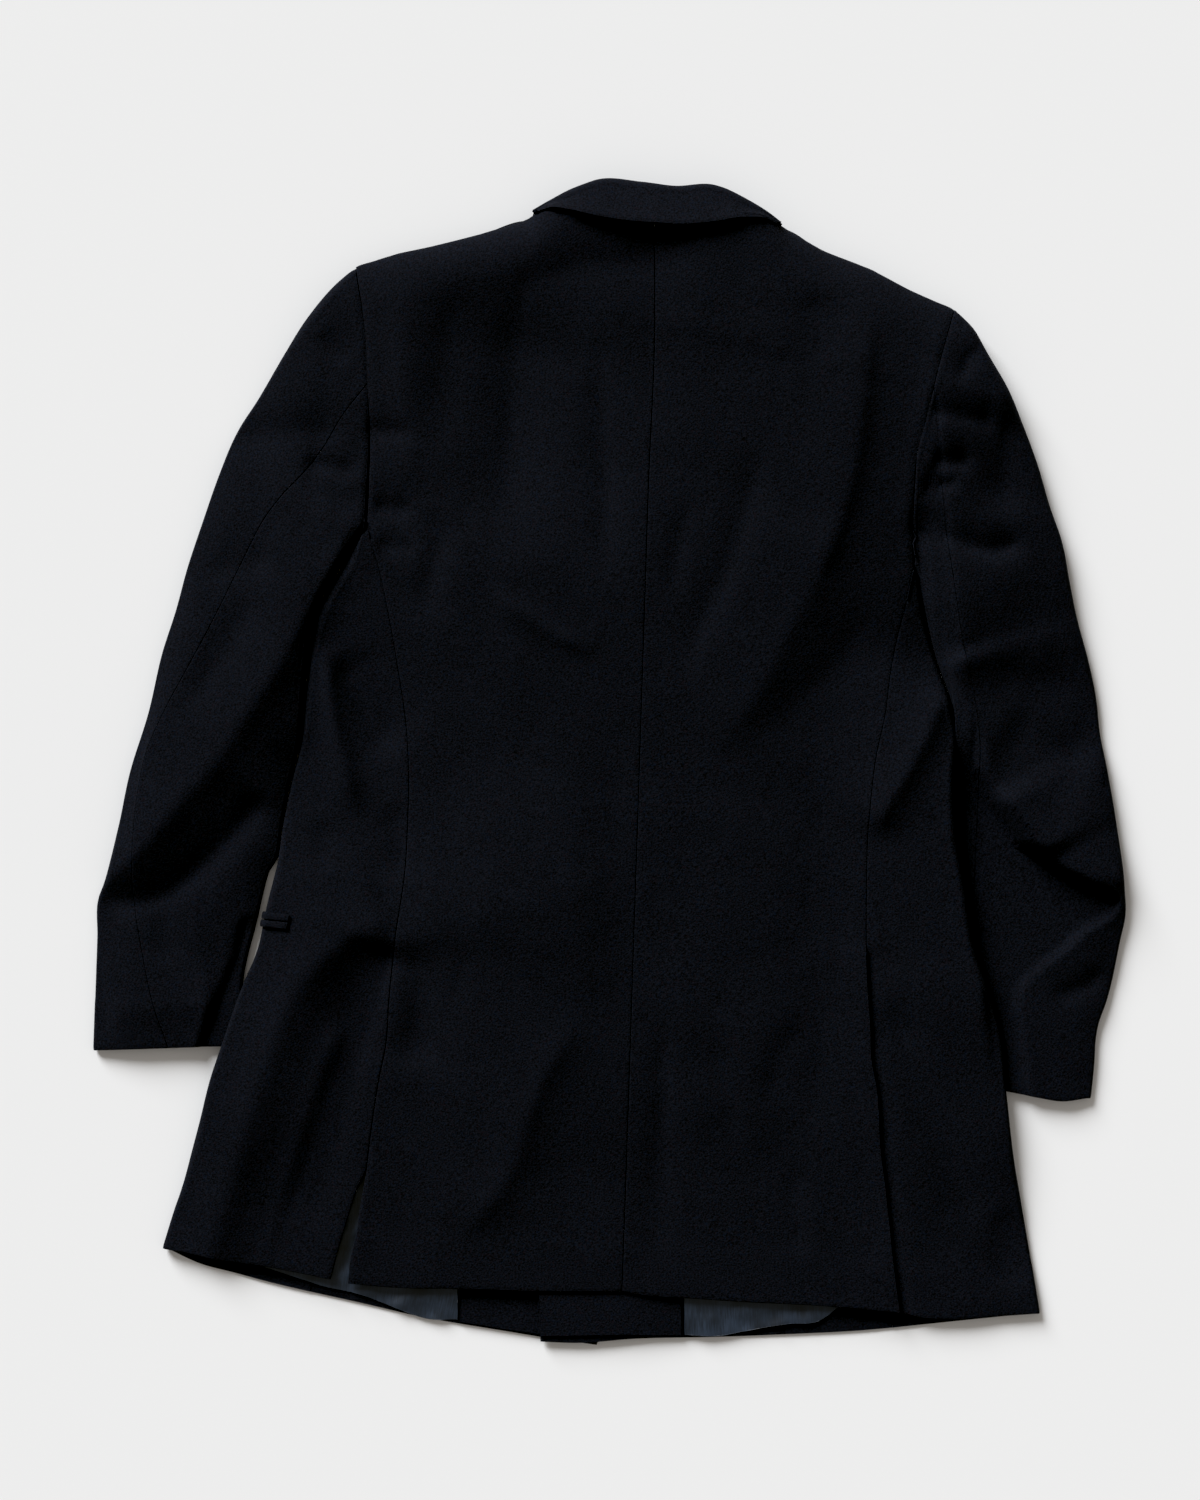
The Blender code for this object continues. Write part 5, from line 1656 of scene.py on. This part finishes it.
@dataclass
class Sleeve:
    """A two-piece sleeve: the top sleeve on its outer side, the under sleeve on its inner."""

    form: BodyForm
    side: str
    step: float = 4.0
    # The seam on the underside, as a share of the way from the inner edge to the outer.
    below_seam: float = 0.45
    # The power by which the sleeve's section falls off to its edges, and its least height.
    section: int = 3
    least: float = 4.5
    # The share of the sleeve's length over which it leaves the body's height.
    blend_share: float = 0.22
    # Below this y the sleeve lies as low as its cuff near the body, and over this length it
    # comes free of that, by up to the free height.
    low_below: dict[str, tuple[float, float]] = field(
        default_factory=lambda: {"left": (-125.0, 60.0), "right": (-35.0, 150.0)}
    )
    free_height: float = 40.0
    # How steeply the right sleeve's bag rises from the hollow beside the body.
    bag_rise: float = 1.7
    # The pale slit beside the left pocket starts below this y, over this length. Above it the
    # sleeve's edge is drawn up to the body's, where it is less than the widest gap away.
    apart_below: float = -84.0
    apart_ramp: float = 16.0
    widest_gap: float = 9.0
    left_gap: float = 0.25
    body_points: int = 1200
    cuff_points: int = 40
    # About how wide a piece is on the underside.
    under_width: float = 70.0
    # How far the seam allowances go on under the armhole.
    tuck: dict[str, float] = field(default_factory=lambda: {"top": 5.5, "under": 8.0})

    def places(self) -> np.ndarray:
        """The rows' shares of the sleeve's length."""
        return spread(Line.through(SLEEVE_OUTER[self.side]).length(), self.step)

    def outer_line(self) -> np.ndarray:
        """The sleeve's outer edge by row."""
        return Line.through(SLEEVE_OUTER[self.side]).at(self.places())

    def inner_line(self) -> np.ndarray:
        """Draws the sleeve's inner edge up to the body where it lies beside it.

        Returns:
            The edge's points by row.
        """
        inner = Line.through(SLEEVE_INNER[self.side]).at(self.places())
        body = Line.through(ARMHOLE_LOWER[self.side], BODY_EDGE[self.side])
        away = body.at(np.linspace(0, 1, self.body_points))[None] - inner[:, None]
        distance = np.hypot(away[..., 0], away[..., 1])
        gap = distance.min(axis=1)
        way = away[np.arange(len(inner)), distance.argmin(axis=1)]
        way = way / np.maximum(gap, TINY)[:, None]
        beside = ease((inner[:, 1] - self.apart_below) / self.apart_ramp) * (gap < self.widest_gap)
        return inner + way * (np.maximum(gap - self.left_gap, 0) * beside)[:, None]

    def height(self, plan: np.ndarray) -> np.ndarray:
        """The sleeve's upper surface.

        Args:
            plan: Plan points, with a row for each of the sleeve's places.

        Returns:
            Heights in millimetres.
        """
        places = self.places()
        to_outer, to_inner = (
            np.linalg.norm(plan - edge[:, None], axis=2)
            for edge in (self.outer_line(), self.inner_line())
        )
        across = to_outer / (to_outer + to_inner)
        edge = level(SLEEVE_EDGE, places)[:, None]
        crown = level(SLEEVE_CROWN, places)[:, None]
        x, y = plan[..., 0], plan[..., 1]
        full = 1 - np.abs(2 * across - 1) ** self.section
        own = edge + (crown - edge) * full + self.form.folds(x, y)
        at_body = 1 - ease(places / self.blend_share)[:, None]
        z = own + (self.form.upper(x, y) - own) * at_body
        z = greater(z, np.full(z.shape, self.least))
        outward = -1.0 if self.side == "left" else 1.0
        beyond = np.maximum(outward * (x - self.form.side_x(y, self.side)) - CUFF_MARGIN, 0)
        if self.side == "right":
            beyond = np.minimum(beyond, self.bag_rise * np.maximum(x - level(ELBOW_RISE, y), 0))
        low_below, over = self.low_below[self.side]
        free = self.free_height * ease((y - low_below) / over)
        return lesser(z, CUFF_HEIGHT + beyond + free)

    def build(self) -> None:
        """Lays the sleeve's two pieces."""
        side, places = self.side, self.places()
        hindarm = Edge.SLEEVE_SEAM if side == "left" else Edge.FAINT_SEAM
        outer, inner = self.outer_line(), self.inner_line()
        seam = Line.through(HINDARM[side]).at(places)
        below = outer * self.below_seam + inner * (1 - self.below_seam)
        cuff = Line.through(CUFF[side]).at(np.linspace(0, 1, self.cuff_points))
        split, under_split = (
            int(np.argmin(np.hypot(*(cuff - line[-1]).T))) for line in (seam, below)
        )
        pieces = {
            "top": (outer, ARMHOLE_UPPER[side][::-1], cuff[split::-1], cuff[: under_split + 1]),
            "under": (inner, ARMHOLE_LOWER[side], cuff[split:], cuff[: under_split - 1 : -1]),
        }
        for name, (edge, hole, cuff_above, cuff_below) in pieces.items():
            first = Line.through(hole), Line.through([edge[0], below[0]])
            last = Line.through(cuff_above), Line.through(cuff_below)
            above = spread(np.hypot(*(seam - edge).T).mean(), self.step)
            wrap = Wrap(
                seam, edge, below, first, last, places, above,
                spread(self.under_width, 2 * self.step),
            )
            shell = Shell(
                name=f"cloth_{name}_sleeve_{side}",
                grid=wrap.grid(self.height, self.form.creases),
                stretches=(
                    Stretch(Side.TOP, Edge.ARMHOLE),
                    Stretch(Side.FIRST, hindarm),
                    Stretch(Side.LAST, Edge.SLEEVE_SEAM),
                    Stretch(Side.BOTTOM, Edge.HEM),
                ),
                tuck=self.tuck[name],
                above_tuck=self.form.upper,
            )
            lay(shell, f"{name}_sleeve_{side}", WOOL_FINISH)


@dataclass
class Fronts:
    """The two fronts on the underside. The inner one lies on the outer one."""

    form: BodyForm
    step: float = 6.0
    # About how wide a front is.
    width: float = 300.0

    def build(self) -> None:
        """Lays both fronts."""
        for side, height, rests_on in (
            ("left", self.form.front, []),
            ("right", self.form.crossed, ["front_left"]),
        ):
            outline = Line.through(ARMHOLE_UPPER[side], ARMHOLE_LOWER[side], UNDER_SEAM[side])
            inner = Line.through(ROLL[side], FRONT_EDGE[side])
            top = Line.through(ROLL[side][:1] + SHOULDER[side])
            hem = Line.through(HEM_FRONT[side][::-1])
            rows, columns = spread(outline.length(), self.step), spread(self.width, self.step)
            plan = drawn_in(patch(inner.at(rows), outline.at(rows), top, hem, rows, columns))
            shell = Shell(
                name=f"cloth_front_{side}",
                grid=with_height(plan, height(plan[..., 0], plan[..., 1])),
                stretches=(Stretch(Side.LAST, Edge.SEAM),),
                upside=False,
            )
            lay(shell, f"front_{side}", WOOL_FINISH)


@dataclass
class InnerLayers:
    """The facings and linings that show at the hem and in the open vent."""

    form: BodyForm
    step: float = 3.0
    pucker: Unevenness = Unevenness(size=21, height=0.55, seed=5)

    def build(self) -> None:
        """Lays the four inner pieces."""
        heights = {"left": (self.form.front, LAYER_GAP), "right": (self.form.crossed, CROSSED_GAP)}
        for side, (height, gap) in heights.items():
            top, hem = LINING_TOP[side], LINING_HEM[side]
            ends = [top[0], hem[0]], [top[-1], hem[-1]]
            plans = {
                "facing": (quad(*FACING[side], self.step), WOOL_FINISH),
                "lining": (quad(*ends, top, hem, self.step), LINING_FINISH),
            }
            for name, (plan, finish) in plans.items():
                x, y = plan[..., 0], plan[..., 1]
                z = height(x, y) + WOOL + gap + LINING
                if name == "lining":
                    # The lining lies higher by as much as its puckers go down.
                    z = z + self.pucker.height + self.pucker.at(x, y)
                shell = Shell(f"cloth_{name}_{side}", with_height(plan, z), LINING)
                lay(shell, f"{name}_{side}", finish)


@dataclass
class TurnedBack:
    """The lapels and the collar's ends, which lie between the fronts and the floor."""

    step: float = 5.0

    def build(self) -> None:
        """Lays the four pieces."""
        for side in SIDES:
            for name, (outer, inner) in {
                "lapel": (LAPEL_OUTER[side], LAPEL_ROLL[side]),
                "collar_end": COLLAR_END[side],
            }.items():
                ends = [outer[0], inner[0]], [outer[-1], inner[-1]]
                plan = quad(outer, inner, *ends, self.step)
                grid = with_height(plan, np.full(plan.shape[:2], TURNED_BACK))
                lay(Shell(f"cloth_{name}_{side}", grid, TURNED_BACK), f"{name}_{side}", WOOL_FINISH)


@dataclass
class Collar:
    """The collar behind the neck: its fall, fold and stand in one wrapped wall."""

    form: BodyForm
    step: float = 2.2
    # About how wide the fall and the stand are.
    fall_width: float = 34.0
    stand_width: float = 24.0
    # How far past the neck's seam the fall still clears the back.
    neck_margin: float = 2.0
    steepest_wall: float = 1.5
    # How much higher the fall's free edge lies, how far it drops from there to the fold, and
    # the height over which both come in from the collar's ends.
    leaf_lift: float = 2.5
    tilt: float = 12.0
    fall_ramp: float = 12.0
    # How far the stand drops at the fold, and the height over which that comes in.
    fold_drop: float = 14.0
    stand_ramp: float = 9.0

    def build(self) -> None:
        """Lays the collar."""
        fold_line = Line.through(COLLAR_FOLD)
        rows = spread(fold_line.length(), self.step)
        leaf, fold = Line.through(COLLAR_LEAF).at(rows), fold_line.at(rows)
        neck = Line.through(COLLAR_NECK).at(rows)
        first, last = (
            (Line.through([leaf[row], fold[row]]), Line.through([fold[row], neck[row]]))
            for row in (0, -1)
        )
        inward = spread(self.stand_width, self.step)

        def height(plan: np.ndarray) -> np.ndarray:
            """The fall's upper surface, which clears the back.

            Args:
                plan: Plan points by row and column.

            Returns:
                Heights in millimetres.
            """
            x, y = plan[..., 0], plan[..., 1]
            from_leaf = np.linalg.norm(plan - leaf[:, None], axis=2)
            from_leaf = from_leaf / np.linalg.norm(fold - leaf, axis=1)[:, None]
            fall = level(FALL_HEIGHT, rows)[:, None]
            inside = np.clip((fall - FALL_HEIGHT[0][1]) / self.fall_ramp, 0, 1)
            own = fall + (self.leaf_lift - self.tilt * from_leaf) * inside
            clear = self.form.upper(x, y) + WOOL * self.steepest_wall + LAYER_GAP
            over_back = y < level(NECK["left"] + NECK["right"][1:], x) + self.neck_margin
            return np.where(over_back, np.maximum(own, clear), own)

        def stand(x: np.ndarray, y: np.ndarray) -> np.ndarray:
            """The stand's lower edge.

            Args:
                x: Plan places, by row or by row and column.
                y: Plan places; not used.

            Returns:
                Heights in millimetres.
            """
            own = level(STAND_HEIGHT, rows)
            drop = self.fold_drop * np.clip((own - STAND_HEIGHT[0][1]) / self.stand_ramp, 0, 1)
            if np.ndim(x) == 1:
                return own - drop
            return own[:, None] - drop[:, None] * (1 - ease(inward))[None]

        above = spread(self.fall_width, self.step)
        wrap = Wrap(leaf, fold, neck, first, last, rows, above, inward)
        stretches = (Stretch(Side.FIRST, Edge.FOLDED),)
        shell = Shell("cloth_collar", wrap.grid(height, stand), stretches=stretches)
        lay(shell, "collar", WOOL_FINISH)


def cylinder(
    radius: float, depth: float, corners: int,
    place: Sequence[float] = (0.0, 0.0, 0.0), turn: Sequence[float] = (0.0, 0.0, 0.0),
) -> bpy.types.Object:
    """Adds a cylinder and selects it alone.

    Args:
        radius: In millimetres.
        depth: In millimetres.
        corners: How many sides it has.
        place: Its middle, in millimetres.
        turn: Its rotation.

    Returns:
        The cylinder.
    """
    bpy.ops.object.select_all(action="DESELECT")
    bpy.ops.mesh.primitive_cylinder_add(
        vertices=corners, radius=radius * MM, depth=depth * MM,
        location=[value * MM for value in place], rotation=turn,
    )
    return bpy.context.object


def taken(piece: bpy.types.Object) -> bpy.types.Mesh:
    """Takes an object's mesh and removes the object.

    Args:
        piece: The object.

    Returns:
        A copy of its mesh.
    """
    mesh = piece.data.copy()
    bpy.data.objects.remove(piece)
    return mesh


@dataclass
class Buttons:
    """Four-hole horn buttons with a dished face, sewn on the outer front."""

    radius: float = 10.0
    thickness: float = 3.0
    corners: int = 48
    hole_radius: float = 0.9
    # How far each hole is from the button's middle.
    hole_offset: float = 1.7
    hole_corners: int = 16
    drill_length: float = 20.0
    # The flat rim's width, the slope's beside it, the dish's depth and the edges' wear.
    rim: float = 3.5
    slope: float = 0.9
    dish: float = 0.8
    worn: float = 0.35
    thread_radius: float = 0.35
    thread_corners: int = 10

    def disc(self) -> bpy.types.Mesh:
        """Makes one button at the origin, with its face down.

        Returns:
            Its mesh.
        """
        disc = cylinder(self.radius, self.thickness, self.corners, (0, 0, self.thickness / 2))
        bpy.ops.object.transform_apply(location=True)
        bpy.ops.object.mode_set(mode="EDIT")
        bpy.ops.mesh.select_all(action="DESELECT")
        bpy.ops.object.mode_set(mode="OBJECT")
        # The button's face is the one that points down.
        for face in disc.data.polygons:
            face.select = face.normal.z < -0.9
        bpy.ops.object.mode_set(mode="EDIT")
        bpy.ops.mesh.select_mode(type="FACE")
        bpy.ops.mesh.inset(thickness=self.rim * MM)
        bpy.ops.mesh.inset(thickness=self.slope * MM, depth=-self.dish * MM)
        bpy.ops.object.mode_set(mode="OBJECT")
        for angle in np.pi / 4 + np.arange(4) * np.pi / 2:
            place = (self.hole_offset * np.cos(angle), self.hole_offset * np.sin(angle), 0)
            drill = cylinder(self.hole_radius, self.drill_length, self.hole_corners, place)
            bpy.context.view_layer.objects.active = disc
            cut = disc.modifiers.new("hole", "BOOLEAN")
            cut.object = drill
            cut.operation = "DIFFERENCE"
            bpy.ops.object.modifier_apply(modifier=cut.name)
            bpy.data.objects.remove(drill)
        soften = disc.modifiers.new("worn edges", "BEVEL")
        soften.width = self.worn * MM
        soften.segments = 2
        soften.limit_method = "ANGLE"
        bpy.ops.object.modifier_apply(modifier=soften.name)
        mesh = taken(disc)
        mesh.shade_smooth()
        return mesh

    def thread(self) -> bpy.types.Mesh:
        """Makes the crossed stitches of one button, just inside its dish.

        Returns:
            Their mesh.
        """
        size = (self.thread_radius, 2 * self.hole_offset, self.thread_corners)
        place = (0, 0, self.dish - self.thread_radius)
        parts = [
            cylinder(*size, place, (0, np.pi / 2, angle)) for angle in (np.pi / 4, -np.pi / 4)
        ]
        for part in parts:
            part.select_set(True)
        bpy.context.view_layer.objects.active = parts[0]
        bpy.ops.object.join()
        bpy.ops.object.transform_apply(location=True, rotation=True)
        return taken(bpy.context.object)

    def build(self) -> None:
        """Places the four buttons and their stitches."""
        disc, thread = self.disc(), self.thread()
        for number, (x, y) in enumerate(BUTTON_PLACES, start=1):
            shift = np.array((x + PLAN_SHIFT[0], y + PLAN_SHIFT[1], 0)) * MM
            for name, mesh, finish, node in (
                (f"horn_button_{number}", disc, HORN_FINISH, f"button_{number}"),
                (f"stitches_{number}", thread, WOOL_FINISH, None),
            ):
                copy = mesh.copy()
                for vertex in copy.vertices:
                    vertex.co = tuple(np.array(vertex.co) + shift)
                place_piece(copy, name, finish, node)
        LOG.info("buttons: %d", len(BUTTON_PLACES))


@dataclass
class Studio:
    """A pale floor, soft light from beyond the collar, and a camera straight above."""

    floor_size: float = 12.0
    # How far the floor lies below the blazer, in metres, so that they don't share a plane.
    floor_drop: float = 0.0002
    camera_height: float = 2.5
    lens: float = 80.0
    sensor: float = 36.0
    # The photograph's middle in the tables' plan, in millimetres.
    middle: tuple[float, float] = (-7.5, 9.0)
    # The window's light: how far left of the collar it comes from, how high and how soft.
    key_azimuth: float = 34.0
    key_elevation: float = 24.0
    key_softness: float = 30.0
    key_strength: float = 5.4
    key_colour: str = "#fbfdff"
    sky: str = "#fff7ee"
    sky_strength: float = 0.3
    # The picture's black point, which drops the deepest tones of the cloth to black.
    black_point: tuple[float, float, float] = (0.0035, 0.0036, 0.0052)

    def build(self) -> None:
        """Lays the floor, hangs the light and sets the camera."""
        self.floor()
        self.sun()
        self.room()
        self.camera()
        view = bpy.context.scene.view_settings
        view.view_transform = "Standard"
        view.use_curve_mapping = True
        view.curve_mapping.black_level = self.black_point
        view.curve_mapping.update()

    def floor(self) -> None:
        """Lays the floor."""
        bpy.ops.object.select_all(action="DESELECT")
        bpy.ops.mesh.primitive_plane_add(size=self.floor_size, location=(0, 0, -self.floor_drop))
        floor = bpy.context.object
        floor.name = "floor"
        floor.data.materials.append(PaleFloor().material())

    def sun(self) -> None:
        """Hangs soft light to one side, as even over the floor as a far window's."""
        lamp = bpy.data.lights.new("window", "SUN")
        lamp.energy = self.key_strength
        lamp.angle = np.radians(self.key_softness)
        lamp.color = linear(self.key_colour)[:3]
        tilt, turn = np.radians(90 - self.key_elevation), np.radians(self.key_azimuth)
        self.hold("window", lamp).rotation_euler = (-tilt, 0, turn)

    def room(self) -> None:
        """Fills the shadows with the room's own soft light."""
        world = bpy.data.worlds.new("soft room")
        world.use_nodes = True
        background = world.node_tree.nodes["Background"]
        sky = {"Color": linear(self.sky), "Strength": self.sky_strength}
        Wiring(world.node_tree).feed(background, sky)
        bpy.context.scene.world = world

    def camera(self) -> None:
        """Sets the camera straight above the photograph's middle."""
        camera = bpy.data.cameras.new("straight above")
        camera.lens = self.lens
        camera.sensor_fit = "VERTICAL"
        camera.sensor_height = self.sensor
        x, y = ((self.middle[k] + PLAN_SHIFT[k]) * MM for k in (0, 1))
        holder = self.hold("straight above", camera)
        holder.location = (x, y, self.camera_height)
        bpy.context.scene.camera = holder

    @staticmethod
    def hold(name: str, data: bpy.types.ID) -> bpy.types.Object:
        """Adds an object to the scene.

        Args:
            name: Its name.
            data: The lamp or camera that it holds.

        Returns:
            The object.
        """
        holder = bpy.data.objects.new(name, data)
        bpy.context.scene.collection.objects.link(holder)
        return holder


def main() -> None:
    """Builds every piece in order and dresses it."""
    form = BodyForm()
    Fronts(form).build()
    TurnedBack().build()
    InnerLayers(form).build()
    for side in SIDES:
        SidePanel(form, side).build()
        Sleeve(form, side).build()
    Back(form).build()
    Collar(form).build()
    Buttons().build()
    Studio().build()


if __name__ == "__main__":
    logging.basicConfig(level=logging.INFO, format="%(message)s")
    main()
